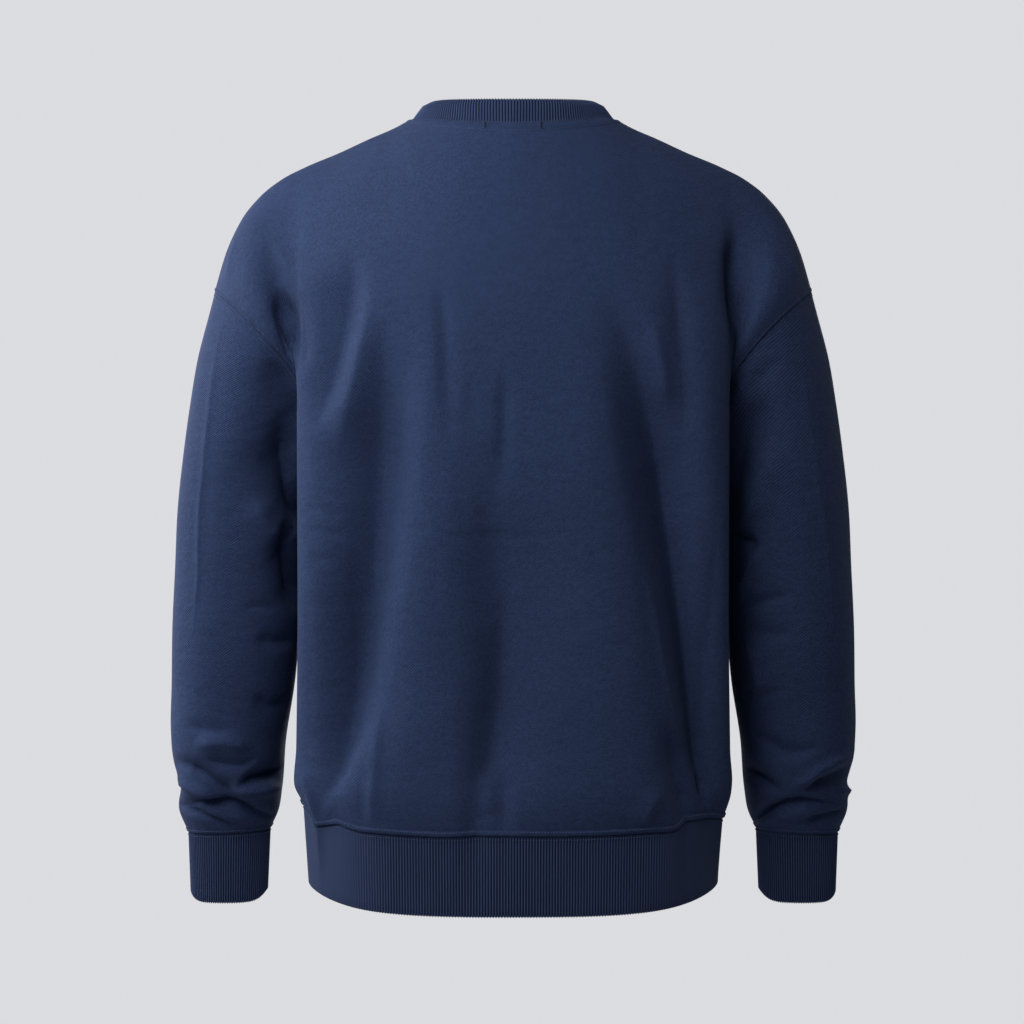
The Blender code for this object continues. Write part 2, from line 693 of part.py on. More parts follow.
def build():
    clear_scene()
    parts = bpy.data.collections.new("crewneck_sweatshirt")
    bpy.context.scene.collection.children.link(parts)
    wearer = bpy.data.objects.new("worn_on_shoulders", None)
    parts.objects.link(wearer)

    even = quarter_shares(NECK_COLUMNS, 1)
    across = quarter_shares(HALF_COLUMNS, 1)
    mirror = np.array((-1.0, 1.0, 1.0))
    grids = {
        "back": [panel(1), False, -1, "body"],
        "front": [panel(-1), False, 1, "body"],
        "sleeve_left": [sleeve(), True, 1, "sleeve"],
        "sleeve_right": [sleeve() * mirror, True, -1, "sleeve"],
        "collar": [collar_rings(even, even), True, 1, "rib"],
        "hem_rib": [hem_rings(across), True, -1, "rib"],
        "cuff_left": [cuff(), True, 1, "rib"],
        "cuff_right": [cuff() * mirror, True, -1, "rib"],
    }
    plain = shared_normals(list(grids.values()))
    for entry, normals in zip(grids.values(), plain):
        entry[0] = entry[0] + fold_height(entry[0], normals)[..., None] * normals
    folded = dict(zip(grids, shared_normals(list(grids.values()))))

    for name in ("back", "front", "sleeve_left", "sleeve_right"):
        grid, closed = grids[name][:2]
        cloth(name, grid, folded[name], closed, parts, wearer)

    back, front = (quarter_shares(NECK_COLUMNS, 2 * n) for n in (COLLAR_RIBS_BACK, COLLAR_RIBS_FRONT))
    ribs = [COLLAR_RIBS_BACK] * NECK_COLUMNS + [COLLAR_RIBS_FRONT] * (2 * NECK_COLUMNS)
    ribs += [COLLAR_RIBS_BACK] * NECK_COLUMNS
    seam, normals = grids["collar"][0][0], folded["collar"][0]
    band("collar", collar_rings(back, front), seam, normals, ribs, parts, wearer)

    ribs = [HEM_RIBS] * (4 * HALF_COLUMNS)
    rings = hem_rings(quarter_shares(HALF_COLUMNS, 2 * HEM_RIBS))
    seam, normals = grids["hem_rib"][0][0], folded["hem_rib"][0]
    band("hem_rib", rings, seam, normals, ribs, parts, wearer)

    ribs = [CUFF_RIBS] * SLEEVE_COLUMNS
    rings = cuff(SLEEVE_COLUMNS * 2 * CUFF_RIBS)
    for name, turn in (("cuff_left", 1), ("cuff_right", mirror)):
        seam, normals = grids[name][0][0], folded[name][0]
        band(name, rings * turn, seam, normals, ribs, parts, wearer)


build()
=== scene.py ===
"""A navy crewneck sweatshirt, filled out and hollow as when worn, sewn up in a maker's order.

Sizes are in millimetres until a mesh is made. +X is the wearer's left, +Y the back and +Z up, and
the origin lies at the neck, where the wearer's shoulders hold the garment.
"""

import math
from collections import namedtuple

import bpy
import numpy as np
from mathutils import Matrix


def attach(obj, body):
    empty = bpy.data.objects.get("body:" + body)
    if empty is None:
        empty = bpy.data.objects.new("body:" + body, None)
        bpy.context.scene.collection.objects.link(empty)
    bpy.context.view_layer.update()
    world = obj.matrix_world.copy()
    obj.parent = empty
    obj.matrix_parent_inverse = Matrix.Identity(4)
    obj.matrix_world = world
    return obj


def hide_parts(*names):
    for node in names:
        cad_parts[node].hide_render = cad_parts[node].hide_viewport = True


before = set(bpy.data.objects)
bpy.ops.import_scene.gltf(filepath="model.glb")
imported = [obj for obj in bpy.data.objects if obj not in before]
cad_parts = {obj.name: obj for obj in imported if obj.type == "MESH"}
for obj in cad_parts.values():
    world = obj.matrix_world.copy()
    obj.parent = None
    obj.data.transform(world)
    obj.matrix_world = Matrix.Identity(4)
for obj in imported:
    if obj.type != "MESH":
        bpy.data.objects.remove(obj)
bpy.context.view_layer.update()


# ---- Back panel ----
# One piece of brushed cotton jersey, cut on the straight grain and sewn to the front at both
# shoulders and sides, and to the sleeves and ribs at its other edges. Worn, it bows out over the
# shoulder blades, turns a soft corner at each side and dips beside each armhole.

MM = 0.001
FLEECE_THICK = 1.8

Station = namedtuple("Station", "x z")
SHOULDER = (
    Station(0, 32),
    Station(50, 24),
    Station(94, 6),
    Station(105, 0),
    Station(129, -10.5),
    Station(156, -23),
    Station(187, -36),
    Station(209, -47.5),
    Station(229, -64),
    Station(245, -85),
    Station(258, -114),
    Station(268, -148),
)
SHOULDER_TIP = np.array((268.0, 0.0, -148.0))
UNDERARM = np.array((172.0, 0.0, -295.0))
CORNER_X = 187.0
NECK_HALF_WIDTH = 94.0
NECK_DROP = {1: 11.6, -1: 88.0}
NECK_POWER = {1: 2.0, -1: 1.5}

Armhole = namedtuple("Armhole", "row depth")
ARMHOLE = (
    Armhole(0.0, 0),
    Armhole(0.1, 27),
    Armhole(0.2, 47),
    Armhole(0.3, 60),
    Armhole(0.4, 63),
    Armhole(0.5, 54),
    Armhole(0.6, 41),
    Armhole(0.7, 29),
    Armhole(0.8, 19),
    Armhole(0.9, 10),
    Armhole(1.0, 0),
)
ARMHOLE_SHARE = {1: 1.0, -1: 0.93}
Rounding = namedtuple("Rounding", "fall out")
YOKE_ROUNDING = {1: Rounding(3.0, 0.6), -1: Rounding(2.2, 0.8)}
YOKE_FULL = 0.8
YOKE_SPREAD = 1.2

Section = namedtuple("Section", "down edge_x edge_y seam_x back front")
TORSO = (
    Section(295, 187.0, 78.0, 172.0, 128.0, 122.0),
    Section(350, 187.0, 76.0, 169.0, 129.0, 124.0),
    Section(450, 187.5, 70.0, 180.0, 127.0, 124.0),
    Section(550, 190.0, 56.0, 189.5, 124.0, 122.0),
    Section(590, 191.5, 46.0, 191.0, 123.0, 121.0),
    Section(610, 185.5, 36.0, 185.0, 119.0, 118.0),
)
TORSO_POWER = 2.3
HEM_SEAM_SIDE = 610.0
HEM_SEAM_CENTRE = 620.0

# Shares of a panel's half width: the neck's corner, and the line where the panel turns to the side.
NECK_SHARE = 6 / 14
CORNER_SHARE = 10 / 14

# Mesh lines: how far apart, and how close and how far in they run beside a seam.
MESH_STEP = 3.1
SEAM_STEP = 0.75
SEAM_REACH = 9.0
SIDE_REACH = 85.0

# How many points the dense lines have, from which a mesh's own points are read off evenly.
QUARTER_POINTS = 361
SHOULDER_POINTS = 400
BLADE_POINTS = 801


def smooth(at, stations, values):
    """A soft curve through values at stations, which rise."""
    stations = np.asarray(stations, float)
    values = np.asarray(values, float)
    slopes = np.gradient(values, stations)
    i = np.clip(np.searchsorted(stations, at) - 1, 0, len(stations) - 2)
    step = stations[i + 1] - stations[i]
    f = (at - stations[i]) / step
    start = (2 * f**3 - 3 * f**2 + 1) * values[i] + (f**3 - 2 * f**2 + f) * step * slopes[i]
    end = (3 * f**2 - 2 * f**3) * values[i + 1] + (f**3 - f**2) * step * slopes[i + 1]
    return start + end


def ease(share):
    """A soft step from 0 to 1."""
    share = np.clip(share, 0, 1)
    return share * share * (3 - 2 * share)


def by_length(share, *axes):
    """The points of a dense line at these shares of its length."""
    steps = np.sqrt(sum(np.diff(axis) ** 2 for axis in axes))
    length = np.concatenate(([0], np.cumsum(steps)))
    return [np.interp(share, length / length[-1], axis) for axis in axes]


def quarter(share, width, depth, power):
    """A quarter of a rounded oval, from (0, depth) to (width, 0)."""
    angle = np.linspace(0, math.pi / 2, QUARTER_POINTS)
    x = width * np.sin(angle) ** (2 / power)
    y = depth * np.cos(angle).clip(0) ** (2 / power)
    return by_length(share, x, y)


def column(table, name):
    return [getattr(row, name) for row in table]


def stack(x, y, z):
    """Points from their coordinates, any of which may be one number."""
    return np.stack(np.broadcast_arrays(x, y, z), axis=-1)


def ridge_z(x):
    """The height of the shoulders' ridge."""
    return smooth(x, *zip(*SHOULDER))


def rounded(fall, side):
    """How far a panel has come forward from the shoulders' ridge (0) to the chest (1)."""
    shape = YOKE_ROUNDING[side]
    return (1 - (1 - np.clip(fall, 0, 1)) ** shape.fall) ** shape.out


def yoke_surface(x, fall, side):
    """The panel over the shoulders, from their ridge (fall 0) to the underarm's height (1)."""
    chest = TORSO[0]
    depth = chest.back if side == 1 else chest.front
    across = np.clip(x / chest.edge_x, 0, 1)
    full = ease(fall / YOKE_FULL)
    bow = (1 - full) * (1 - across**2) + full * (1 - across**TORSO_POWER) ** (1 / TORSO_POWER)
    out = rounded(fall, side) * (chest.edge_y + (depth - chest.edge_y) * bow)
    return stack(x, side * out, ridge_z(x) - fall * (ridge_z(x) + chest.down))


def neck_cut(share, side):
    """The neckline, from its centre (0) to the shoulder (1): x, and fall from the ridge."""
    x = NECK_HALF_WIDTH * np.sin(math.pi / 2 * share)
    drop = NECK_DROP[side] * np.cos(math.pi / 2 * share).clip(0) ** NECK_POWER[side]
    z = ridge_z(NECK_HALF_WIDTH) - drop
    return x, (ridge_z(x) - z) / (ridge_z(x) + TORSO[0].down)


def shoulder_seam(share):
    """The shoulder from the neck (0) past the panel's corner (0.5) to the tip (1)."""
    x = np.linspace(NECK_HALF_WIDTH, SHOULDER_TIP[0], SHOULDER_POINTS)
    z = ridge_z(x)
    inner = x <= CORNER_X
    inner_x, inner_z = by_length(np.clip(2 * share, 0, 1), x[inner], z[inner])
    outer_x, outer_z = by_length(np.clip(2 * share - 1, 0, 1), x[~inner], z[~inner])
    first = share <= 0.5
    return stack(np.where(first, inner_x, outer_x), 0, np.where(first, inner_z, outer_z))


def armhole(row, side):
    """The armhole seam from the shoulder's tip (0) to the underarm (1)."""
    fall = (1 - np.cos(math.pi * row)) / 2
    x = UNDERARM[0] + (SHOULDER_TIP[0] - UNDERARM[0]) * (1 - fall) ** 2
    y = side * ARMHOLE_SHARE[side] * smooth(row, *zip(*ARMHOLE))
    return stack(x, y, SHOULDER_TIP[2] + (UNDERARM[2] - SHOULDER_TIP[2]) * fall)


def body_ring(down, side, shares):
    """A level line around half a panel, from its centre (0) over the corner to the side seam (1)."""
    stations = column(TORSO, "down")
    edge_x = smooth(down, stations, column(TORSO, "edge_x"))
    edge_y = smooth(down, stations, column(TORSO, "edge_y"))
    seam_x = smooth(down, stations, column(TORSO, "seam_x"))
    depth = smooth(down, stations, column(TORSO, "back" if side == 1 else "front"))
    x, y = quarter(np.clip(shares / CORNER_SHARE, 0, 1), edge_x, depth - edge_y, TORSO_POWER)
    turn = np.clip((shares - CORNER_SHARE) / (1 - CORNER_SHARE), 0, 1)
    x = np.where(turn > 0, seam_x + (edge_x - seam_x) * (1 + np.cos(math.pi * turn)) / 2, x)
    return x, side * (y + edge_y * (1 - turn))


def torso_point(shares, fall, side):
    """Points below the arms: fall runs from the underarm (0) to the hem seam (1)."""
    top = TORSO[0].down
    x, y = body_ring(top + fall * (TORSO[-1].down - top), side, shares)
    seam = HEM_SEAM_SIDE + (HEM_SEAM_CENTRE - HEM_SEAM_SIDE) * np.cos(math.pi / 2 * shares) ** 2
    return stack(x, y, -(top + fall * (seam - top)))


def yoke_point(shares, row, side):
    """Points above the underarm: row runs from the shoulder and neck seams (0) to the underarm (1)."""
    fall = (ease(row) + row**YOKE_SPREAD) / 2
    top = shoulder_seam(np.clip((shares - NECK_SHARE) / (1 - NECK_SHARE), 0, 1))
    chest = torso_point(shares, 0.0, side)
    cut_x, cut_fall = neck_cut(np.clip(shares / NECK_SHARE, 0, 1), side)
    at_neck = shares < NECK_SHARE - 1e-9
    start_x = np.where(at_neck, cut_x, top[:, 0])
    start_fall = np.where(at_neck, cut_fall, 0)
    x = start_x + (chest[:, 0] - start_x) * ease(fall)
    middle = yoke_surface(x, start_fall + (1 - start_fall) * fall, side)

    blend = np.array((ease(fall), rounded(fall, side), fall))
    turn = np.clip((shares - CORNER_SHARE) / (1 - CORNER_SHARE), 0, 1)
    arm_shift = armhole(row, side) - (SHOULDER_TIP + (UNDERARM - SHOULDER_TIP) * blend)
    outside = top + (chest - top) * blend + ease(turn)[:, None] * arm_shift
    return np.where((shares <= CORNER_SHARE + 1e-9)[:, None], middle, outside)


def marks(length, seam_at_start, seam_at_end, step=MESH_STEP):
    """Distances from 0 to length, a step apart, but closer together beside a seam."""
    beside = np.arange(0, SEAM_REACH, SEAM_STEP)
    low = SEAM_REACH if seam_at_start else 0.0
    high = length - SEAM_REACH if seam_at_end else length
    middle = np.linspace(low, high, max(2, round((high - low) / step) + 1))
    start = beside if seam_at_start else []
    end = (length - beside)[::-1] if seam_at_end else []
    return np.concatenate((start, middle, end))


def run(grid, axis, from_end=False):
    """How far each point lies along its mesh line from the line's first or last point."""
    steps = np.linalg.norm(np.diff(grid, axis=axis), axis=-1)
    length = np.cumsum(steps, axis=axis)
    length = np.concatenate((np.zeros_like(np.take(length, [0], axis)), length), axis=axis)
    return np.take(length, [-1], axis) - length if from_end else length


def half_shares():
    """A panel's mesh lines from its centre to its side seam, through the neck's corner and its own."""
    neck = np.linspace(0, NECK_SHARE, round(NECK_HALF_WIDTH / MESH_STEP) + 1)
    middle = np.linspace(NECK_SHARE, CORNER_SHARE, round((CORNER_X - NECK_HALF_WIDTH) / MESH_STEP) + 1)
    side = CORNER_SHARE + (1 - CORNER_SHARE) * marks(SIDE_REACH, False, True) / SIDE_REACH
    return np.concatenate((neck, middle[1:], side[1:]))


def yoke_rows():
    """Rows from the shoulder to the underarm, even along the panel's slope over a shoulder blade."""
    dense = np.linspace(0, 1, BLADE_POINTS)
    blade = np.array([(NECK_SHARE + CORNER_SHARE) / 2])
    line = np.array([yoke_point(blade, row, 1)[0] for row in dense])
    length = run(line, 0)
    return np.interp(marks(length[-1], True, False), length, dense)


SHARES = half_shares()
ALL_SHARES = np.concatenate((-SHARES[:0:-1], SHARES))
AT_NECK = np.abs(ALL_SHARES) <= NECK_SHARE
YOKE_ROWS = yoke_rows()
TORSO_LENGTH = HEM_SEAM_CENTRE - TORSO[0].down
TORSO_FALLS = marks(TORSO_LENGTH, False, True)[1:] / TORSO_LENGTH


def panel(side):
    """A panel's outer points: a row across for each level, from the wearer's right to the left."""
    half = np.array([yoke_point(SHARES, row, side) for row in YOKE_ROWS]
                    + [torso_point(SHARES, fall, side) for fall in TORSO_FALLS])
    return np.concatenate((half[:, :0:-1] * (-1, 1, 1), half), axis=1)


def unit(vectors):
    return vectors / np.linalg.norm(vectors, axis=-1, keepdims=True).clip(1e-9)


def outward(grid, facing, tube=False):
    """Normals of a grid of points; facing is 1 or -1, to turn them outwards."""
    if tube:
        across = np.roll(grid, -1, axis=1) - np.roll(grid, 1, axis=1)
    else:
        across = np.gradient(grid, axis=1)
    return unit(facing * np.cross(across, np.gradient(grid, axis=0)))


# Folds of a piece. Each runs down along its points, which are (x, z) on a panel and (way round, z)
# on a sleeve. A height above zero is a ridge and below zero a trough, and it falls away over "left"
# millimetres towards +X and over "right" millimetres towards -X. It narrows towards its ends.
Fold = namedtuple("Fold", "height left right points")

# The share of a fold's length over which it rises, the share of its width that its ends have, the
# power of its rounded section, and how fully folds keep their height where a panel turns sideways.
FOLD_FADE = 0.34
FOLD_TIP = 0.5
FOLD_ROUND = 1.5
FOLD_FACING = 1.6

BACK_FOLDS = (
    Fold(-9, 10, 9, ((204, -146), (198, -166), (192, -187), (188, -210), (187, -234))),
    Fold(3.2, 5, 9, ((221, -100), (207, -110), (198, -130), (193, -161),
        (189, -201), (187, -249), (186, -309))),
    Fold(-14, 26, 15, ((135, -115), (141, -152), (147, -187), (155, -218), (164, -250), (173, -284))),
    Fold(4, 10, 12, ((119, -144), (128, -191), (137, -232), (145, -267), (154, -306))),
    Fold(-29, 29, 34, ((110, -157), (113, -253), (118, -347), (129, -442), (146, -538), (165, -637))),
    Fold(-9, 36, 18, ((137, -369), (141, -420), (146, -472), (150, -523), (157, -575), (165, -637))),
    Fold(9, 18, 44, ((65, -166), (72, -242), (79, -317), (89, -392), (102, -467), (115, -543))),
    Fold(3.5, 6, 12, ((116, -505), (128, -541), (143, -572), (159, -598), (171, -621))),
    Fold(3, 5, 4, ((113, -496), (118, -539), (121, -578), (121, -619))),
    Fold(-2, 8, 5, ((123, -556), (128, -586), (130, -619))),
    Fold(-3.4, 4, 6, ((64, -140), (61, -175), (58, -209), (56, -247), (52, -298))),
    Fold(-1.2, 3, 3, ((45, -303), (43, -335), (42, -373))),
    Fold(-1.2, 3, 3, ((36, -234), (35, -255), (35, -277))),
    Fold(-3.2, 4, 6, ((9, -219), (8, -251), (9, -289), (12, -336))),
    Fold(-14, 23, 60, ((21, -268), (16, -336), (12, -382), (9, -432),
        (8, -487), (12, -534), (19, -576), (30, -632))),
    Fold(-6, 13, 20, ((8, -386), (9, -445), (11, -496), (17, -538), (25, -576), (36, -632), (43, -676))),
    Fold(-4, 6, 5, ((8, -559), (7, -589), (7, -628))),
    Fold(3, 6, 6, ((24, -563), (22, -585), (25, -606))),
    Fold(-34, 32, 30, ((-72, -140), (-106, -223), (-132, -305), (-147, -387),
        (-163, -470), (-177, -555), (-194, -642), (-204, -727))),
    Fold(4, 30, 12, ((-68, -192), (-75, -234), (-82, -276), (-89, -319),
        (-97, -361), (-106, -403), (-114, -445))),
    Fold(2.6, 4, 5, ((-107, -369), (-116, -403), (-124, -433), (-132, -477),
        (-140, -510), (-149, -542), (-165, -577))),
    Fold(-12, 10, 14, ((-128, -522), (-141, -561), (-150, -592), (-154, -628))),
    Fold(3, 7, 6, ((-132, -581), (-121, -590), (-113, -603), (-110, -616))),
    Fold(-6, 14, 12, ((-137, -112), (-140, -156), (-145, -204), (-149, -242), (-152, -276), (-154, -318))),
    Fold(3, 10, 6, ((-118, -174), (-126, -217), (-136, -268))),
    Fold(3, 10, 10, ((-163, -318), (-169, -421), (-174, -507), (-176, -568))),
    Fold(-10, 8, 10, ((-197, -91), (-194, -117), (-193, -143), (-194, -170), (-194, -204))),
    Fold(-0.9, 3, 3, ((72, -366), (49, -368), (23, -367), (-14, -366), (-65, -364))),
    Fold(-1.2, 3, 3, ((184, -342), (165, -345), (143, -348))),
    Fold(-1.2, 3, 3, ((183, -362), (163, -363), (138, -368))),
    Fold(-1, 3, 3, ((182, -385), (166, -387), (147, -386))),
    Fold(3, 5, 3, ((195, -544), (183, -576), (175, -600), (169, -617), (163, -637))),
    Fold(-3, 5, 5, ((-186, -571), (-180, -588), (-174, -605))),
    Fold(1.3, 3, 3, ((245, -97), (250, -121), (253, -147))),
    Fold(1.3, 3, 3, ((-239, -94), (-244, -122), (-249, -149))),
)
SEAM_FREE = 14.0


def fold_height(flat, folds):
    """How far each point of a flat layout is moved out by all the folds near it."""
    height = np.zeros(flat.shape[:-1])
    for fold in folds:
        path = np.array(fold.points, float)
        nearest = np.full(height.shape, np.inf)
        along = np.zeros(height.shape)
        sideways = np.zeros(height.shape)
        for i, (start, end) in enumerate(zip(path[:-1], path[1:])):
            line = end - start
            share = np.clip(((flat - start) @ line) / (line @ line), 0, 1)
            off = flat - start - share[..., None] * line
            away = np.linalg.norm(off, axis=-1)
            closer = away < nearest
            to_left = off @ np.array((-line[1], line[0])) / np.linalg.norm(line)
            along = np.where(closer, (i + share) / (len(path) - 1), along)
            sideways = np.where(closer, to_left, sideways)
            nearest = np.where(closer, away, nearest)
        left_share = ease(0.5 + sideways / (fold.left + fold.right))
        width = fold.right + (fold.left - fold.right) * left_share
        fade = ease(np.minimum(along, 1 - along) / FOLD_FADE)
        width *= FOLD_TIP + (1 - FOLD_TIP) * fade
        height += fold.height * fade * np.exp(-((nearest / width) ** FOLD_ROUND))
    return height


# The bands beside the seams: how high and wide each stands, how deep its ditch is at the seam, and
# how far from the seam its row of stitches runs.
Welt = namedtuple("Welt", "height width ditch row")
HEM_WELT = Welt(1.2, 5.0, 0.3, 5.0)
NECK_WELT = Welt(0.8, 11.5, 0.4, 11.5)
ARM_WELT = Welt(0.5, 4.2, 0.35, 3.2)
SHOULDER_WELT = Welt(0.4, 6.0, 0.3, 4.5)
SIDE_WELT = Welt(0.1, 3.0, 0.4, 3.0)
STITCH_PULL = 0.3

# How far the back's hem seam lies above its even line (below zero, under it), from -X to +X.
Sag = namedtuple("Sag", "share rise")
HEM_SAG_REACH = 45.0
HEM_SAG = (
    Sag(-1.0, 0),
    Sag(-0.7, -4),
    Sag(-0.6, -4.5),
    Sag(-0.54, -1.5),
    Sag(-0.5, -0.5),
    Sag(-0.45, -4),
    Sag(-0.38, -2.5),
    Sag(0.0, -0.7),
    Sag(0.2, -2.7),
    Sag(0.43, -3.3),
    Sag(0.5, 0.3),
    Sag(0.54, -3),
    Sag(0.575, -4),
    Sag(0.588, -1),
    Sag(0.612, 8),
    Sag(0.65, 10),
    Sag(0.84, 8),
    Sag(1.0, 0),
)


def welt(distance, shape):
    """A low rounded band beside a seam, a ditch at the seam and a furrow where its stitches pull."""
    across = np.clip(distance / shape.width, 0, 1)
    band = shape.height * (1 - (2 * across - 1) ** 4)
    ditch = shape.ditch * np.exp(-((distance / SEAM_STEP) ** 2))
    furrow = STITCH_PULL * np.exp(-(((distance - shape.row) / SEAM_STEP) ** 2))
    return np.where(distance < shape.width, band, 0) - ditch - furrow


def sewn_panel(side, folds):
    """A panel with its folds and the bands beside its seams."""
    plain = panel(side)
    normals = outward(plain, side)
    height = fold_height(plain[..., ::2], folds) * np.clip(FOLD_FACING * side * normals[..., 1], 0, 1)

    rows = len(YOKE_ROWS)
    below = np.arange(len(plain)) >= rows
    to_top = run(plain, 0)
    to_hem = run(plain, 0, from_end=True)
    to_edge = np.minimum(run(plain, 1), run(plain, 1, from_end=True))
    held = np.where(below[:, None], to_edge, np.inf)
    held = np.minimum(held, np.where(AT_NECK, np.inf, to_top))
    height *= ease(held / SEAM_FREE)

    height += welt(to_hem, HEM_WELT)
    height += np.where(AT_NECK, welt(to_top, NECK_WELT), welt(to_top, SHOULDER_WELT))
    arm = np.where(below[:, None], np.inf, to_edge)
    height += welt(arm, ARM_WELT)
    height += np.where(below[:, None], welt(to_edge, SIDE_WELT), 0)
    shaped = plain + height[..., None] * normals
    if side == 1:
        near_hem = ease(1 - to_hem / HEM_SAG_REACH)
        shaped[..., 2] += near_hem * np.interp(ALL_SHARES, *zip(*HEM_SAG))
    return shaped


def closed(points, axis=0):
    """Points with the first of them again at the end."""
    return np.concatenate((points, np.take(points, [0], axis)), axis=axis)


def placed(name, data):
    """A new object in the scene."""
    made = bpy.data.objects.new(name, data)
    bpy.context.scene.collection.objects.link(made)
    return made


def knit_mesh(name, points, across, along, facing, tube=False, folded=False):
    """A grid of points as a mesh, with a UV map in metres that follows the knit."""
    rows, columns = points.shape[:2]
    number = np.arange(rows * columns).reshape(rows, columns)
    if tube:
        number = closed(number, 1)
    if folded:
        number = closed(number)
    uv = np.stack((across, along), axis=-1)

    def corners(values):
        around = (values[:-1, :-1], values[:-1, 1:], values[1:, 1:], values[1:, :-1])
        return np.stack(around[::facing], axis=2)

    mesh = bpy.data.meshes.new(name)
    mesh.from_pydata((points.reshape(-1, 3) * MM).tolist(), [], corners(number).reshape(-1, 4).tolist())
    mesh.uv_layers.new(name="Knit").data.foreach_set("uv", (corners(uv) * MM).ravel())
    mesh.shade_smooth()
    return placed(name, mesh)


def panel_uv(points, to_the_right):
    """Across from the centre line, growing to the right as seen from outside, and up from the underarm."""
    middle = points.shape[1] // 2
    across = run(points, 1)
    across = (across - across[:, middle : middle + 1]) * to_the_right
    down = run(points, 0)
    return across, down[len(YOKE_ROWS) - 1] - down


def cut_from_jersey(made):
    """Gives a piece its cloth, with the thickness on the inside."""
    wall = made.modifiers.new("Thickness", "SOLIDIFY")
    wall.thickness = FLEECE_THICK * MM
    wall.offset = -1
    made.data.materials.append(JERSEY)
    return made


# The jersey's own colour, and the darker colour it is mixed towards: painted shade in the twill's gaps and
# in the puckers, and random mottle from the nap and soft clouds.
JERSEY_COLOUR = (0.0250, 0.0410, 0.0980, 1.0)
JERSEY_PAINTED_SHADE_AND_MOTTLE = (0.0118, 0.0200, 0.0510, 1.0)
TWILL_PITCH = 0.0018
TWILL_TURN = math.radians(47)

# The wave texture's scale times its pitch, and the summed tones that the dark and the full colour take.
WAVE_TURN = 0.314159
TONE_LOW = 0.92
TONE_HIGH = 1.82


def shader(name):
    """A new material, its node tree and its main shader."""
    made = bpy.data.materials.new(name)
    made.use_nodes = True
    return made, made.node_tree, made.node_tree.nodes["Principled BSDF"]


def give(tree, node, given):
    """Fills in a node's inputs, each with a value or with the output of another node."""
    for name, value in given.items():
        if isinstance(value, bpy.types.NodeSocket):
            tree.links.new(value, node.inputs[name])
        else:
            node.inputs[name].default_value = value


def add(tree, kind, output, given, **settings):
    """Makes a node with its settings and inputs, and returns one of its outputs."""
    node = tree.nodes.new(kind)
    for name, value in settings.items():
        setattr(node, name, value)
    give(tree, node, given)
    return node.outputs[output]


def bands(tree, source, turn, pitch, distortion):
    """Soft parallel lines a pitch apart, turned by an angle, along a UV map in metres."""
    turned = add(tree, "ShaderNodeMapping", "Vector", {"Vector": source, "Rotation": (0, 0, turn)})
    return add(tree, "ShaderNodeTexWave", "Fac", {
        "Vector": turned,
        "Scale": WAVE_TURN / pitch,
        "Distortion": distortion,
        "Detail": 1.0,
        "Detail Scale": 0.6,
    })


def blotches(tree, source, scale, detail):
    """Soft noise with about this many features to a unit."""
    return add(tree, "ShaderNodeTexNoise", "Fac", {"Vector": source, "Scale": scale, "Detail": detail})


def streaks(tree, source, across, up):
    """Soft noise drawn out along the courses: features this many metres wide and high."""
    drawn = add(tree, "ShaderNodeMapping", "Vector", {
        "Vector": source,
        "Scale": (1 / across, 1 / up, 1),
    })
    return blotches(tree, drawn, scale=1.0, detail=3)


def mix_colours(tree, share, first, second):
    return add(tree, "ShaderNodeMix", "Result", {
        "Factor": share,
        "A": first,
        "B": second,
    }, data_type="RGBA")


def bump(tree, height, distance, strength, under=None):
    """Relief of this height in metres, on top of the relief under it."""
    given = {"Height": height, "Distance": distance, "Strength": strength}
    if under:
        given["Normal"] = under
    return add(tree, "ShaderNodeBump", "Normal", given)


def weighted(tree, *shares):
    """The sum of some values, each times its own weight."""
    total = 0.0
    for value, weight in shares:
        total = add(tree, "ShaderNodeMath", 0, {0: value, 1: weight, 2: total}, operation="MULTIPLY_ADD")
    return total


# What both cloths share: a soft dull face with a faint bluish nap.
NAP = {
    "Specular IOR Level": 0.08,
    "Sheen Weight": 0.05,
    "Sheen Roughness": 0.4,
    "Sheen Tint": (0.42, 0.52, 0.80, 1.0),
}


def jersey():
    """Brushed-back sweatshirt jersey: a fine diagonal face and soft puckers, both with painted shade, and
    a short nap.
    """
    made, tree, face = shader("jersey")
    place = tree.nodes.new("ShaderNodeTexCoord").outputs
    twill = bands(tree, place["UV"], TWILL_TURN, TWILL_PITCH, distortion=1.5)
    pucker = streaks(tree, place["UV"], across=0.011, up=0.006)
    ripple = streaks(tree, place["UV"], across=0.040, up=0.018)
    fluff = blotches(tree, place["Object"], scale=480, detail=2)
    cloud = blotches(tree, place["Object"], scale=9, detail=3)
    # Painted shade and mottle: the twill's gaps and the puckers darken the colour as their shade would,
    # and the fluff and clouds vary it at random.
    tone = weighted(tree, (twill, 0.72), (fluff, 1.33), (cloud, 0.35), (pucker, 0.35))
    level = add(tree, "ShaderNodeMapRange", "Result", {
        "Value": tone,
        "From Min": TONE_LOW,
        "From Max": TONE_HIGH,
    })
    relief = bump(tree, ripple, distance=0.0030, strength=0.5)
    relief = bump(tree, pucker, distance=0.0012, strength=0.5, under=relief)
    relief = bump(tree, fluff, distance=0.0004, strength=0.35, under=relief)
    relief = bump(tree, twill, distance=0.0004, strength=0.4, under=relief)
    give(tree, face, {
        "Base Color": mix_colours(tree, level, JERSEY_PAINTED_SHADE_AND_MOTTLE, JERSEY_COLOUR),
        "Normal": relief,
        "Roughness": 0.86,
        **NAP,
    })
    return made


JERSEY = jersey()

back = sewn_panel(1, BACK_FOLDS)
back_piece = cut_from_jersey(knit_mesh("back_panel", back, *panel_uv(back, -1), 1))
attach(back_piece, "root")
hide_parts("back")


# ---- Front panel ----
# The other half of the body, cut like the back from the same jersey but with a deeper neckline, and
# sewn to it. The chest fills it out, and long soft folds fall from the chest to the hem.

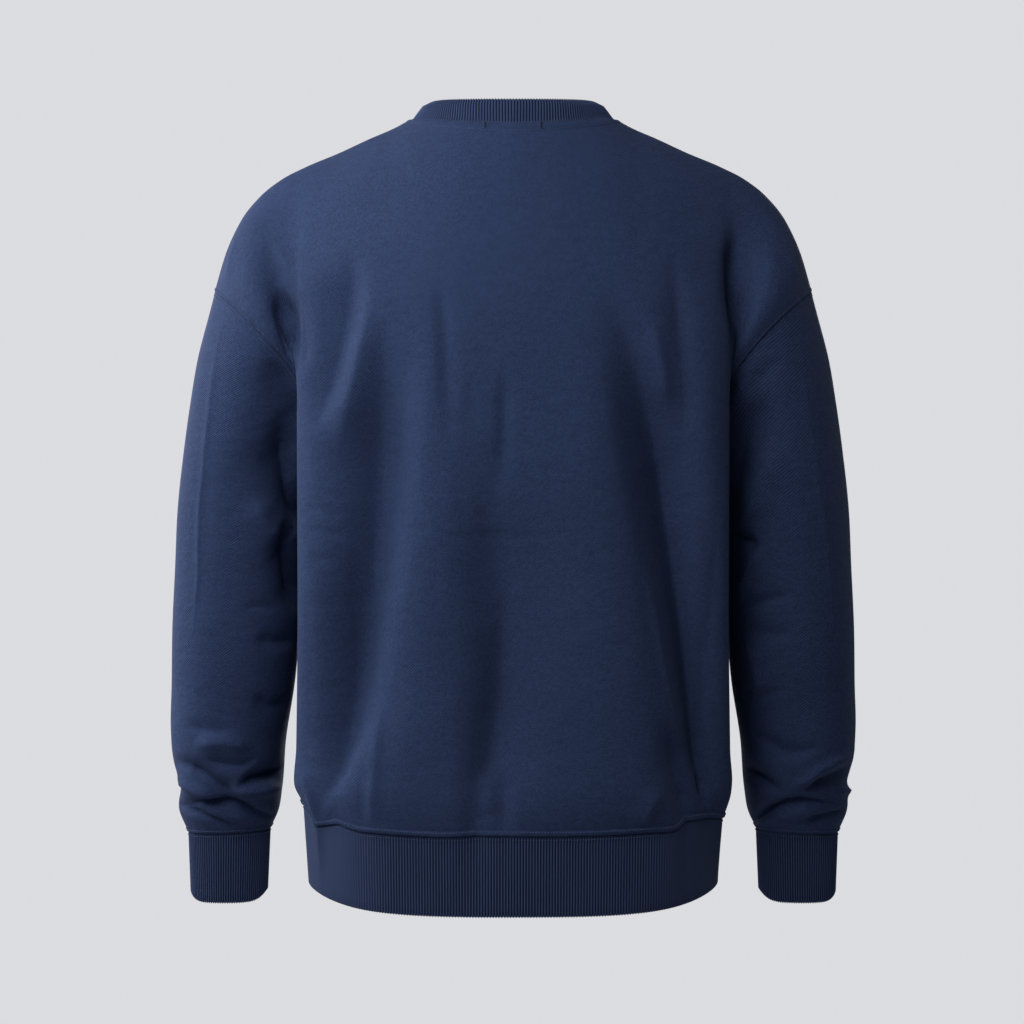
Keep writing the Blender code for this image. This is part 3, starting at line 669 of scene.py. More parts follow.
FRONT_FOLDS = (
    Fold(-7, 11, 9, ((222, -108), (208, -140), (201, -175), (197, -210), (192, -245))),
    Fold(-7, 9, 11, ((-222, -108), (-208, -140), (-201, -175), (-197, -210), (-192, -245))),
    Fold(7, 18, 12, ((-92, -200), (-100, -290), (-112, -400), (-118, -520))),
    Fold(-8, 12, 22, ((-128, -180), (-138, -270), (-146, -360), (-150, -450))),
    Fold(-6, 20, 12, ((-14, -270), (-10, -360), (-2, -460), (6, -580))),
    Fold(-9, 24, 14, ((78, -190), (92, -280), (112, -390), (134, -540))),
    Fold(7, 12, 16, ((126, -230), (142, -330), (160, -470))),
    Fold(-3, 7, 10, ((150, -150), (160, -200), (166, -260))),
    Fold(4, 14, 9, ((50, -230), (58, -320), (64, -420))),
    Fold(-2.5, 4, 7, ((-60, -170), (-56, -230), (-52, -300))),
    Fold(3.5, 8, 12, ((30, -420), (36, -500), (46, -600))),
    Fold(-3.5, 8, 11, ((-70, -430), (-78, -510), (-86, -600))),
    Fold(3, 6, 9, ((-140, -490), (-150, -560), (-152, -612))),
    Fold(3, 6, 10, ((110, -500), (122, -560), (132, -612))),
    Fold(-2.2, 4, 6, ((-36, -120), (-40, -150), (-42, -190))),
    Fold(2, 5, 6, ((160, -560), (168, -590), (170, -612))),
    Fold(-1.5, 4, 4, ((-176, -560), (-170, -590), (-164, -612))),
)

front = sewn_panel(-1, FRONT_FOLDS)
front_piece = cut_from_jersey(knit_mesh("front_panel", front, *panel_uv(front, 1), -1))
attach(front_piece, "root")
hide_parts("front")


# ---- Sleeves ----
# Each is one piece of jersey, closed by a seam under the arm and set into the dropped armhole. Worn,
# it hangs a little forward, keeps the crease it was pressed with, and its spare length stacks in
# soft rolls above the cuff.

Line = namedtuple("Line", "down x")
SLEEVE_OUTER = (
    Line(148, 268),
    Line(173, 274.5),
    Line(205, 283),
    Line(250, 291),
    Line(295, 297.5),
    Line(340, 303),
    Line(395, 306.5),
    Line(450, 310),
    Line(500, 311.5),
    Line(545, 313),
    Line(570, 311.5),
    Line(598, 305),
    Line(615, 307.5),
    Line(639, 299.5),
)
SLEEVE_INNER = (
    Line(295, 172),
    Line(313, 185),
    Line(335, 189.5),
    Line(370, 191),
    Line(420, 193.5),
    Line(460, 196),
    Line(500, 200),
    Line(555, 209),
    Line(600, 213),
    Line(622, 217),
    Line(636, 223.5),
)
Swing = namedtuple("Swing", "down y")
SLEEVE_SWING = (Swing(148, 0), Swing(295, -10), Swing(450, -28), Swing(560, -41), Swing(640, -50))
Girth = namedtuple("Girth", "share depth")
SLEEVE_DEPTH = (
    Girth(0.0, 72),
    Girth(0.15, 66),
    Girth(0.4, 61),
    Girth(0.7, 59),
    Girth(0.9, 54),
    Girth(1.0, 34),
)
SLEEVE_POWER = 2.2
ARMHOLE_FADE = 0.35
SLEEVE_LENGTH = 420.0
SLEEVE_STEP = 2.5
SEAM_BLEND = 40.0

SLEEVE_RADIUS = 58.0
SLEEVE_WELT = Welt(0.25, 4.0, 0.35, 3.2)
CUFF_WELT = Welt(0.7, 3.9, 0.3, 3.9)

LEFT_FOLDS = (
    Fold(1.5, 3, 3, ((60, -149), (47, -234), (33, -317), (29, -401), (34, -478))),
    Fold(-8, 20, 10, ((3, -196), (-2, -218), (-12, -240), (-27, -264), (-47, -287))),
    Fold(-15, 23, 12, ((-4, -256), (-18, -282), (-32, -304), (-52, -326), (-87, -347), (-99, -366))),
    Fold(5, 9, 9, ((-7, -331), (-24, -354), (-49, -375))),
    Fold(-12, 20, 14, ((-40, -353), (-54, -375), (-65, -398), (-74, -420), (-84, -444))),
    Fold(-1.5, 3, 3, ((-8, -431), (-24, -429), (-46, -433))),
    Fold(-3.5, 6, 7, ((-21, -458), (-41, -462), (-81, -462))),
    Fold(-3.5, 7, 6, ((-23, -509), (-44, -520), (-90, -517))),
    Fold(-2.5, 4, 6, ((42, -536), (13, -540), (-15, -541))),
    Fold(5, 7, 7, ((28, -553), (-2, -551), (-36, -557))),
    Fold(-4.5, 5, 5, ((21, -565), (-2, -571), (-19, -573), (-41, -566))),
    Fold(-9, 3, 9, ((89, -570), (33, -575), (16, -583), (4, -592), (-8, -600), (-34, -607))),
    Fold(7, 6, 8, ((87, -587), (41, -593), (19, -599), (-6, -605))),
    Fold(5.5, 6, 7, ((-2, -598), (-31, -596), (-95, -598))),
    Fold(-12, 5, 7, ((-9, -593), (-34, -587), (-60, -585), (-99, -579))),
    Fold(-11, 3.5, 5, ((89, -614), (23, -607), (-1, -607), (-17, -611), (-37, -618), (-98, -630))),
    Fold(-6, 3, 4, ((91, -612), (33, -617), (11, -622), (-19, -632))),
    Fold(3, 4, 4, ((33, -617), (-5, -620), (-45, -629))),
    Fold(-5, 10, 12, ((-150, -300), (-172, -340), (-205, -372))),
    Fold(5, 9, 9, ((-140, -360), (-170, -390), (-200, -400))),
    Fold(-5, 8, 10, ((-150, -455), (-180, -470), (-215, -466))),
    Fold(-6, 8, 5, ((-140, -560), (-175, -578), (-215, -572), (-250, -560))),
    Fold(-8, 4, 5, ((-130, -615), (-170, -612), (-205, -618), (-245, -610))),
    Fold(4, 6, 7, ((-145, -590), (-180, -598), (-225, -588))),
)
RIGHT_FOLDS = (
    Fold(0.9, 3, 3, ((-56, -150), (-38, -239), (-26, -326), (-32, -415), (-35, -505))),
    Fold(-4.5, 8, 9, ((-16, -242), (1, -261), (16, -282), (29, -307), (43, -335))),
    Fold(-2.5, 5, 6, ((-28, -211), (-17, -222), (-2, -239))),
    Fold(5, 14, 12, ((-7, -196), (1, -230), (20, -269))),
    Fold(8, 14, 14, ((-10, -274), (6, -309), (24, -337), (53, -362))),
    Fold(-7, 5, 5, ((79, -365), (44, -371), (26, -375))),
    Fold(6, 8, 11, ((22, -374), (36, -390), (49, -408), (59, -430))),
    Fold(-4, 5, 6, ((59, -430), (27, -425), (-1, -416))),
    Fold(-3, 5, 6, ((55, -450), (26, -454), (2, -453))),
    Fold(7, 12, 12, ((61, -452), (42, -473), (38, -496), (56, -524))),
    Fold(-3, 6, 5, ((67, -505), (36, -509), (10, -504))),
    Fold(-6, 6, 8, ((69, -540), (37, -553), (25, -559), (8, -561), (-16, -553))),
    Fold(6, 4, 6, ((-86, -561), (-30, -569), (-13, -575), (-1, -585), (13, -596))),
    Fold(-8, 5, 6, ((6, -597), (-16, -589), (-40, -584), (-84, -576))),
    Fold(-10, 5, 8, ((99, -579), (63, -585), (43, -591), (12, -600))),
    Fold(-11, 3.5, 5, ((102, -636), (51, -620), (18, -610), (-2, -607), (-60, -610))),
    Fold(-6, 3, 4, ((9, -626), (-24, -622), (-87, -616))),
    Fold(6, 5, 5, ((-29, -595), (-64, -598), (-95, -604))),
    Fold(3, 4, 4, ((50, -629), (8, -618), (-24, -616))),
    Fold(-5, 10, 12, ((150, -310), (176, -350), (205, -376))),
    Fold(-5, 8, 10, ((150, -470), (185, -476), (215, -466))),
    Fold(-6, 5, 8, ((140, -556), (180, -574), (225, -566), (250, -554))),
    Fold(4, 6, 7, ((150, -592), (185, -596), (225, -584))),
    Fold(-8, 4, 5, ((130, -612), (170, -616), (210, -612), (250, -606))),
    Fold(5, 9, 9, ((145, -372), (175, -396), (205, -404))),
)


def oval(angle, centre, half_width, depth, power):
    """Points round a rounded oval, whose width may slope and whose depth is along Y."""
    cos = np.sign(np.cos(angle)) * np.abs(np.cos(angle)) ** (2 / power)
    sin = np.sign(np.sin(angle)) * np.abs(np.sin(angle)) ** (2 / power)
    return centre + cos[:, None] * half_width + sin[:, None] * np.array((0.0, depth, 0.0))


def sleeve_ring(share, angle):
    """A ring of the left sleeve: angle 0 is its outer line, and a quarter turn further its back."""
    outer_down = SLEEVE_OUTER[0].down + share * (SLEEVE_OUTER[-1].down - SLEEVE_OUTER[0].down)
    inner_down = SLEEVE_INNER[0].down + share * (SLEEVE_INNER[-1].down - SLEEVE_INNER[0].down)
    swing = [smooth(down, *zip(*SLEEVE_SWING)) for down in (outer_down, inner_down)]
    outer = np.array((smooth(outer_down, *zip(*SLEEVE_OUTER)), swing[0], -outer_down))
    inner = np.array((smooth(inner_down, *zip(*SLEEVE_INNER)), swing[1], -inner_down))
    depth = smooth(share, *zip(*SLEEVE_DEPTH))
    return oval(angle, (outer + inner) / 2, (outer - inner) / 2, depth, SLEEVE_POWER)


SLEEVE_ANGLES = math.pi * np.concatenate((YOKE_ROWS, 2 - YOKE_ROWS[-2:0:-1]))
WHOLE_TURN = np.concatenate((SLEEVE_ANGLES, [2 * math.pi]))
SLEEVE_SHARES = marks(SLEEVE_LENGTH, True, True, SLEEVE_STEP) / SLEEVE_LENGTH


def unrolled(points, mirror):
    """A sleeve's points as (way round, z): the way round is 0 at the back and grows towards +X."""
    around = mirror * SLEEVE_RADIUS * (math.pi / 2 - SLEEVE_ANGLES)
    return np.stack(np.broadcast_arrays(around, points[..., 2]), axis=-1)


def sewn_sleeve(mirror, seam, folds):
    """A sleeve that starts on the armhole seam as the panels leave it, with its own folds."""
    back_half = SLEEVE_ANGLES <= math.pi
    row = np.where(back_half, SLEEVE_ANGLES, 2 * math.pi - SLEEVE_ANGLES) / math.pi
    cut = np.where(back_half[:, None], armhole(row, 1), armhole(row, -1))
    shift = cut - sleeve_ring(0.0, SLEEVE_ANGLES)
    rings = [sleeve_ring(share, SLEEVE_ANGLES) + (1 - ease(share / ARMHOLE_FADE)) * shift
             for share in SLEEVE_SHARES]
    plain = np.array(rings) * (mirror, 1, 1)
    normals = outward(plain, -mirror, tube=True)
    flat = unrolled(plain, mirror)
    girth = 2 * math.pi * SLEEVE_RADIUS
    height = sum(fold_height(flat + (turn * girth, 0), folds) for turn in (-1, 0, 1))
    to_arm = run(plain, 0)
    to_cuff = run(plain, 0, from_end=True)
    height *= ease(to_arm / SEAM_FREE)
    height += welt(to_arm, SLEEVE_WELT) * ease(to_arm / SEAM_STEP)
    height += welt(to_cuff, CUFF_WELT)
    pulled = (seam - plain[0]) * (1 - ease(to_arm / SEAM_BLEND))[..., None]
    return plain + height[..., None] * normals + pulled


def armhole_edge(mirror):
    """The armhole's edge all round, as the sewn panels leave it, from the shoulder's tip over the back."""
    last = -1 if mirror == 1 else 0
    rows = len(YOKE_ROWS)
    return np.concatenate((back[:rows, last], front[:rows, last][-2:0:-1]))


def tube_uv(points, to_the_right):
    """Round the tube, growing to the right as seen from outside, and up from its lower end."""
    ring = closed(points, 1)
    return run(ring, 1) * to_the_right, -run(ring, 0)


def sleeve_uv(points, mirror):
    """Round a sleeve, growing to the right as seen from outside, and up along its hanging line."""
    up = closed(points[..., 2], 1)
    return np.broadcast_to(mirror * SLEEVE_RADIUS * WHOLE_TURN, up.shape), up


sleeves = {}
for name, mirror, folds in (("left", 1, LEFT_FOLDS), ("right", -1, RIGHT_FOLDS)):
    points = sewn_sleeve(mirror, armhole_edge(mirror), folds)
    sleeves[mirror] = points
    piece = knit_mesh(f"sleeve_piece_{name}", points, *sleeve_uv(points, mirror), -mirror, tube=True)
    cut_from_jersey(piece)
    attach(piece, "root")
    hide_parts(f"sleeve_{name}")


# ---- Neck rib ----
# A strip of one by one rib, folded in half along its length and sewn to the neckline through both
# layers, so that its free edge is a soft fold. It is cut shorter than the neckline and stands up.

COLLAR_HALF_WIDTH = 75.0
COLLAR_SIDE_Z = 22.0
COLLAR_DEPTH = {1: 53.0, -1: 68.0}
COLLAR_DROP = {1: 4.6, -1: 83.0}
COLLAR_RIBS = {1: 51, -1: 60}

# How much the ribs close up sideways, at the seam and at the free edge.
COLLAR_LEAN = {1: (0.074, -0.136), -1: (0.0, 0.0)}

# How far a standing band bows, and the slope and start that turn it from hollow to full.
COLLAR_BOW = 4.0
BOW_OUT = 1.7
BOW_IN = 0.6

# Every rib band: its folded thickness, its furrows' depth and roundness, the painted shade where the
# ribs fade out, over what length from the seam they rise and how late, and the mesh lines to a rib.
RIB_THICK = 2.4
RIB_RELIEF = 1.1
RIB_ROUNDNESS = 1.5
RIB_SHADE = 0.4
RIB_START = 2.0
RIB_LATE = 0.2
RIB_POINTS = 6

# A band's mesh: its rows below the seam, the step of the rest, how deep and far the seam draws it
# in, and its lines round the fold and up the inside.
BAND_ROWS = (0.0, 0.7, 1.4, 2.2, 3.4, 5.0)
BAND_STEP = 9.0
SEAM_SINK = 0.5
SEAM_SINK_REACH = 1.6
FOLD_STEPS = 5
INSIDE_STEPS = 4

# The rib's own colour, and the darker colour painted into the furrows between the ribs as their shade,
# with a little random mottle.
RIB_COLOUR = (0.0330, 0.0510, 0.1120, 1.0)
RIB_PAINTED_SHADE_AND_MOTTLE = (0.0062, 0.0102, 0.0290, 1.0)


def collar_edge(share, side):
    """The collar's free edge, from its centre (0) to the shoulder (1)."""
    angle = math.pi / 2 * share
    drop = COLLAR_DROP[side] * np.cos(angle).clip(0) ** NECK_POWER[side]
    x = COLLAR_HALF_WIDTH * np.sin(angle)
    return stack(x, side * COLLAR_DEPTH[side] * np.cos(angle), COLLAR_SIDE_Z - drop)


def ribbed_shares(ribs):
    """Even shares from 0 to 1 over a quarter of a band, with RIB_POINTS points to a rib."""
    return np.linspace(0, 1, ribs * RIB_POINTS + 1)


def along_edge(share, points, at):
    """Points of an edge read at other shares."""
    return np.stack([np.interp(at, share, points[:, axis]) for axis in range(3)], axis=-1)


def whole_round(back_left, front_left, back_right, front_right):
    """Joins four quarters, each from a centre line outwards, into one ring that starts at the back."""
    return np.concatenate((back_left, front_left[-2::-1], front_right[1:], back_right[-2:0:-1]))


def bulge(share):
    """How a standing band bows, from its seam (0), where it is hollow, to its rounded free edge (1)."""
    return math.sin(math.pi * share) * (BOW_OUT * share - BOW_IN)


def folded_band(seam, edge, facing, bow=0.0):
    """A band's points: out from the seam, round the fold at its free edge, and back up the inside."""
    way = unit(edge - seam)
    across = np.roll(edge, -1, axis=0) - np.roll(edge, 1, axis=0)
    across = across + np.roll(seam, -1, axis=0) - np.roll(seam, 1, axis=0)
    out = unit(facing * np.cross(across, way))
    height = np.linalg.norm(edge - seam, axis=1)[:, None]
    half = RIB_THICK / 2
    rows = []
    deep = float(height.mean())
    for down in (*BAND_ROWS, *np.linspace(BAND_ROWS[-1], deep, round(deep / BAND_STEP) + 1)[1:]):
        share = down / deep
        sink = SEAM_SINK * math.exp(-((down / SEAM_SINK_REACH) ** 2))
        lift = bow * bulge(share) - sink
        rows.append(seam + way * share * (height - half) + lift * out)
    for angle in np.linspace(0, math.pi, FOLD_STEPS)[1:]:
        turn = half * (out * (math.cos(angle) - 1) + way * math.sin(angle))
        rows.append(seam + way * (height - half) + turn)
    for share in np.linspace(1, 0, INSIDE_STEPS)[1:]:
        rows.append(seam + way * share * (height - half) + (bow * bulge(share) - RIB_THICK) * out)
    return np.array(rows)


def tree_with(name, source, values, product):
    """A Geometry Nodes tree with its inputs and output named, and the identifiers of those inputs."""
    tree = bpy.data.node_groups.new(name, "GeometryNodeTree")
    tree.interface.new_socket(source, in_out="INPUT", socket_type="NodeSocketGeometry")
    keys = {}
    for title, kind in values:
        socket = tree.interface.new_socket(title, in_out="INPUT", socket_type="NodeSocket" + kind)
        keys[title] = socket.identifier
    tree.interface.new_socket(product, in_out="OUTPUT", socket_type="NodeSocketGeometry")
    return tree, tree.nodes.new("NodeGroupInput").outputs, keys


def finish_tree(tree, made, colour, product):
    """Ends a tree: its product becomes real geometry in its own material."""
    real = add(tree, "GeometryNodeRealizeInstances", "Geometry", {"Geometry": made})
    dressed = add(tree, "GeometryNodeSetMaterial", "Geometry", {"Geometry": real, "Material": colour})
    give(tree, tree.nodes.new("NodeGroupOutput"), {product: dressed})


def rib_knitter():
    """Geometry Nodes that press furrows into a band between its ribs and store their painted shade."""
    tree, given, keys = tree_with("rib_knitter", "Band", (
        ("Relief", "Float"),
        ("Roundness", "Float"),
        ("Cloth", "Material"),
    ), "Ribbed")

    def work(operation, *terms):
        return add(tree, "ShaderNodeMath", 0, dict(enumerate(terms)), operation=operation)

    def attribute(name):
        return add(tree, "GeometryNodeInputNamedAttribute", "Attribute", {"Name": name})

    wave = work("ABSOLUTE", work("COSINE", work("MULTIPLY", attribute("rib"), math.pi)))
    hollow = work("SUBTRACT", 1.0, work("POWER", wave, given["Roundness"]))
    furrow = work("MULTIPLY", hollow, attribute("raised"))
    depth = work("MULTIPLY", furrow, work("MULTIPLY", given["Relief"], -1.0))
    # The stored furrow value is painted shade: how far the colour darkens, deep in the furrows, and to
    # RIB_SHADE where the ribs fade out.
    shade = work("MULTIPLY", work("SUBTRACT", hollow, RIB_SHADE), attribute("raised"))
    shaded = add(tree, "GeometryNodeStoreNamedAttribute", "Geometry", {
        "Geometry": given["Band"],
        "Name": "furrow",
        "Value": work("ADD", shade, RIB_SHADE),
    })
    normal = add(tree, "GeometryNodeInputNormal", "Normal", {})
    push = add(tree, "ShaderNodeVectorMath", "Vector", {0: normal, "Scale": depth}, operation="SCALE")
    pressed = add(tree, "GeometryNodeSetPosition", "Geometry", {"Geometry": shaded, "Offset": push})
    finish_tree(tree, pressed, given["Cloth"], "Ribbed")
    return tree, keys


def worked(made, machine, name, values):
    """Runs a tree over an object, and turns what it makes into a plain mesh without the modifier."""
    tree, keys = machine
    modifier = made.modifiers.new(tree.name, "NODES")
    modifier.node_group = tree
    for title, value in values.items():
        modifier[keys[title]] = value
    bpy.context.view_layer.update()
    graph = bpy.context.evaluated_depsgraph_get()
    mesh = bpy.data.meshes.new_from_object(made.evaluated_get(graph), depsgraph=graph)
    mesh.name = name
    bpy.data.objects.remove(made)
    return placed(name, mesh)


def rib():
    """One by one rib: a short nap, painted shade in the furrows between the ribs, and faint mottle."""
    made, tree, face = shader("rib")
    place = tree.nodes.new("ShaderNodeTexCoord").outputs
    fluff = blotches(tree, place["Object"], scale=900, detail=2)
    cloud = blotches(tree, place["Object"], scale=14, detail=3)
    # Painted shade: the colour darkens in the furrows by the stored furrow value.
    furrow = add(tree, "ShaderNodeAttribute", "Fac", {}, attribute_name="furrow")
    tone = weighted(tree, (furrow, 1.0), (cloud, 0.2))
    give(tree, face, {
        "Base Color": mix_colours(tree, tone, RIB_COLOUR, RIB_PAINTED_SHADE_AND_MOTTLE),
        "Normal": bump(tree, fluff, distance=0.0003, strength=0.3),
        "Roughness": 0.88,
        **NAP,
    })
    return made


RIB = rib()
KNITTER = rib_knitter()


def ribbed_band(name, rows, facing, to_the_right, pulled_flat=0.0):
    """Makes a folded band a closed mesh, knits its ribs and gives it its cloth."""
    across, along = tube_uv(closed(rows), to_the_right)
    made = knit_mesh(name + "_plain", rows, across, along, facing, tube=True, folded=True)
    phase = np.arange(rows.shape[1]) / RIB_POINTS
    down = run(rows, 0)
    raised = ease(down / RIB_START - RIB_LATE) * (1 - pulled_flat)
    raised[-2:] = 0.0
    for title, values in (("rib", np.broadcast_to(phase, rows.shape[:2])), ("raised", raised)):
        layer = made.data.attributes.new(title, "FLOAT", "POINT")
        layer.data.foreach_set("value", np.ascontiguousarray(values, dtype=np.float32).ravel())
    return worked(made, KNITTER, name, {
        "Relief": RIB_RELIEF * MM,
        "Roundness": RIB_ROUNDNESS,
        "Cloth": RIB,
    })


def panels_edge(row, at, corner=1.0):
    """The neckline (row 0) or the hem seam (row -1) all round, as the sewn panels leave it, read at
    shares of the way from each panel's centre to the edge's corner."""
    middle = len(SHARES) - 1
    quarters = []
    for half in (slice(middle, None), slice(middle, None, -1)):
        quarters.append(along_edge(SHARES / corner, back[row, half], at[1]))
        quarters.append(along_edge(SHARES / corner, front[row, half], at[-1]))
    return whole_round(*quarters)


def free_edge(left):
    """A band's free edge all round, from the back's and the front's lines on the wearer's left."""
    return whole_round(left[1], left[-1], left[1] * (-1, 1, 1), left[-1] * (-1, 1, 1))


def leant(side, at_edge):
    """A quarter's shares at its seam or its edge, so that the back's ribs lean and close up sideways."""
    even = ribbed_shares(COLLAR_RIBS[side])
    lean = COLLAR_LEAN[side][at_edge]
    return even + lean * (even**3 - even)


seam = panels_edge(0, {side: leant(side, 0) for side in (1, -1)}, NECK_SHARE)
edge = free_edge({side: collar_edge(leant(side, 1), side) for side in (1, -1)})
collar_rows = folded_band(seam, edge, -1, COLLAR_BOW)
collar = ribbed_band("neck_rib", collar_rows, -1, -1)
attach(collar, "root")
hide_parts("collar")


# ---- Hem rib ----
# A deep band of the same rib, folded double and sewn round the body's lower edge. It pulls the body
# in a little, so the panels blouse over it.

HEM_HALF_WIDTH = 181.0
HEM_EDGE_Y = 30.0
HEM_DEPTH = {1: 117.0, -1: 116.0}
HEM_SIDE_Z = -672.5
HEM_CENTRE_Z = -690.0
HEM_CORNER_POWER = 5
HEM_RIBS = 126

# Where the worn band is stretched, its ribs are pulled flat: by how much, along half a panel.
Flat = namedtuple("Flat", "share amount")
HEM_FLAT = (
    Flat(0.0, 0.0),
    Flat(0.34, 0.1),
    Flat(0.45, 0.85),
    Flat(0.55, 1.0),
    Flat(0.7, 1.0),
    Flat(0.85, 0.6),
    Flat(1.0, 0.3),
)


def hem_edge(shares, side):
    """The hem's free edge, from the centre of a panel (0) to the side (1)."""
    to_corner = np.clip(shares / CORNER_SHARE, 0, 1)
    x, y = quarter(to_corner, HEM_HALF_WIDTH, HEM_DEPTH[side] - HEM_EDGE_Y, TORSO_POWER)
    turn = np.clip((shares - CORNER_SHARE) / (1 - CORNER_SHARE), 0, 1)
    rise = (HEM_SIDE_Z - HEM_CENTRE_Z) * (x / HEM_HALF_WIDTH) ** HEM_CORNER_POWER
    return stack(x, side * (y + HEM_EDGE_Y * (1 - turn)), HEM_CENTRE_Z + rise)


shares = ribbed_shares(HEM_RIBS)
seam = panels_edge(-1, {1: shares, -1: shares})
edge = free_edge({side: hem_edge(shares, side) for side in (1, -1)})
hem_rows = folded_band(seam, edge, 1)
flat_half = np.interp(shares, *zip(*HEM_FLAT))
flat_round = whole_round(flat_half, flat_half, flat_half, flat_half)
hem = ribbed_band("hem_band", hem_rows, 1, -1, flat_round)
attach(hem, "root")
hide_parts("hem_rib")


# ---- Cuffs ----
# Two strips of the same rib, each joined to a ring, folded double and sewn to a sleeve's end. They
# close at the wrist and hold up the sleeve's spare length.

CUFF_CENTRE = np.array((262.5, -56.0, -702.5))
CUFF_HALF_WIDTH = 35.5
CUFF_DEPTH = 33.0
CUFF_CORNER_RISE = 8.0
CUFF_CORNER_POWER = 6
CUFF_RIBS = 100
CUFF_POINTS = 2401


def cuff_oval(angle):
    """The left cuff's free edge, before its corners rise."""
    return oval(angle, CUFF_CENTRE, np.array((CUFF_HALF_WIDTH, 0.0, 0.0)), CUFF_DEPTH, SLEEVE_POWER)


# The ribs are even along the edge, not in angle.
dense = np.linspace(0, 2 * math.pi, CUFF_POINTS)
around = run(cuff_oval(dense), 0)
even = np.arange(CUFF_RIBS * RIB_POINTS) / (CUFF_RIBS * RIB_POINTS)
angle = np.interp(even, around / around[-1], dense)

cuffs = {}
for name, mirror in (("left", 1), ("right", -1)):
    seam = along_edge(WHOLE_TURN, closed(sleeves[mirror][-1]), angle)
    edge = cuff_oval(angle) * (mirror, 1, 1)
    edge[:, 2] += CUFF_CORNER_RISE * np.cos(angle) ** CUFF_CORNER_POWER
    cuffs[mirror] = folded_band(seam, edge, -mirror)
    piece = ribbed_band(f"wrist_band_{name}", cuffs[mirror], -mirror, mirror)
    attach(piece, "root")
    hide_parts(f"cuff_{name}")


# ---- Stitching ----
# Polyester thread a shade lighter than the cloth, in rows of short stitches sunk a little into it.
# A row runs on each side of the seam at the armholes, neck, hem and cuffs, and two short bars of
# thread hold the tape inside the neck, coloured near black as painted shade of the recess they lie in.

THREAD_COLOUR = (0.034, 0.053, 0.115, 1.0)
# The tacks' near-black colour is painted shade, for the recess the bars lie in.
TACK_PAINTED_SHADE = (0.003, 0.006, 0.020, 1.0)
THREAD_SHADE = 0.7

Row = namedtuple("Row", "pitch long wide")
FINE_ROW = Row(2.5, 1.6, 0.9)
ARM_ROW = Row(2.2, 1.4, 0.7)
TACK = Row(0.9, 1.0, 1.6)

# A stitch is a bead, drawn out to its row's size and then made a little smaller or larger.
BEAD = {"Segments": 6, "Rings": 4, "Radius": 0.5}
STITCH_LEAST = 0.85
STITCH_MOST = 1.12

# How far thread stands off the cloth, and how far from its seam the row runs on a band and on the
# collar. A panel's or sleeve's own row is in its welt.
THREAD_LIFT = 0.15
BAND_ROW = 3.0
COLLAR_ROW = 0.9

# The tacks: where they are, how far they stand off, and the gaps above and below them.
TACK_X = (24.0, -23.0)
TACK_LIFT = 0.3
TACK_FROM = 1.0
TACK_SHORT = 0.5


def sewing_machine():
    """Geometry Nodes that lay stitches along a path, a pitch apart."""
    tree, given, keys = tree_with("sewing_machine", "Path", (
        ("Pitch", "Float"),
        ("Length", "Float"),
        ("Width", "Float"),
        ("Seed", "Int"),
        ("Thread", "Material"),
    ), "Stitches")
    curve = add(tree, "GeometryNodeMeshToCurve", "Curve", {"Mesh": given["Path"]})
    even = add(tree, "GeometryNodeResampleCurve", "Curve", {
        "Curve": curve,
        "Length": given["Pitch"],
    }, mode="LENGTH")
    size = add(tree, "ShaderNodeCombineXYZ", "Vector", {
        "X": given["Length"],
        "Y": given["Width"],
        "Z": given["Width"],
    })
    vary = add(tree, "FunctionNodeRandomValue", 1, {
        2: STITCH_LEAST,
        3: STITCH_MOST,
        "Seed": given["Seed"],
    }, data_type="FLOAT")
    tangent = add(tree, "GeometryNodeInputTangent", "Tangent", {})
    bead = add(tree, "GeometryNodeMeshUVSphere", "Mesh", BEAD)
    laid = add(tree, "GeometryNodeInstanceOnPoints", "Instances", {
        "Points": even,
        "Instance": add(tree, "GeometryNodeSetShadeSmooth", "Geometry", {"Geometry": bead}),
        "Rotation": add(tree, "FunctionNodeAlignRotationToVector", "Rotation", {
            "Vector": tangent,
        }, axis="X"),
        "Scale": add(tree, "ShaderNodeVectorMath", "Vector", {
            0: size,
            "Scale": vary,
        }, operation="SCALE"),
    })
    finish_tree(tree, laid, given["Thread"], "Stitches")
    return tree, keys


def thread(name, colour):
    """Twisted thread, a little darker between its strands."""
    made, tree, face = shader(name)
    place = tree.nodes.new("ShaderNodeTexCoord").outputs
    twist = blotches(tree, place["Object"], scale=1500, detail=1)
    dim = tuple(THREAD_SHADE * value for value in colour[:3]) + (1.0,)
    give(tree, face, {
        "Base Color": mix_colours(tree, twist, dim, colour),
        "Roughness": 0.75,
        "Specular IOR Level": 0.1,
        "Sheen Weight": 0.1,
    })
    return made


MACHINE = sewing_machine()
THREAD = thread("thread", THREAD_COLOUR)
TACK_THREAD = thread("tack_thread", TACK_PAINTED_SHADE)


def sew(name, paths, row, seed, colour):
    """Lays one row of stitches along each path, and joins them into one piece."""
    points = np.concatenate(paths) * MM
    edges = []
    first = 0
    for path in paths:
        edges += [(first + i, first + i + 1) for i in range(len(path) - 1)]
        first += len(path)
    mesh = bpy.data.meshes.new(name + "_path")
    mesh.from_pydata(points.tolist(), edges, [])
    stitches = worked(placed(name + "_path", mesh), MACHINE, name, {
        "Pitch": row.pitch * MM,
        "Length": row.long * MM,
        "Width": row.wide * MM,
        "Seed": seed,
        "Thread": colour,
    })
    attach(stitches, "root")


def beside(grid, normals, distance, axis, from_end=False):
    """The line on a piece that runs at a distance from one of its edges, just proud of the cloth."""
    grid = grid + THREAD_LIFT * normals
    if axis == 1:
        grid = grid.transpose(1, 0, 2)
    if from_end:
        grid = grid[::-1]
    away = run(grid, 0)
    return np.array([along_edge(away[:, i], grid[:, i], distance) for i in range(grid.shape[1])])


def round_row(grid, facing, distance, from_end=False):
    """A closed row round a tube, at a distance from its first or last ring."""
    return closed(beside(grid, outward(grid, facing, tube=True), distance, 0, from_end))


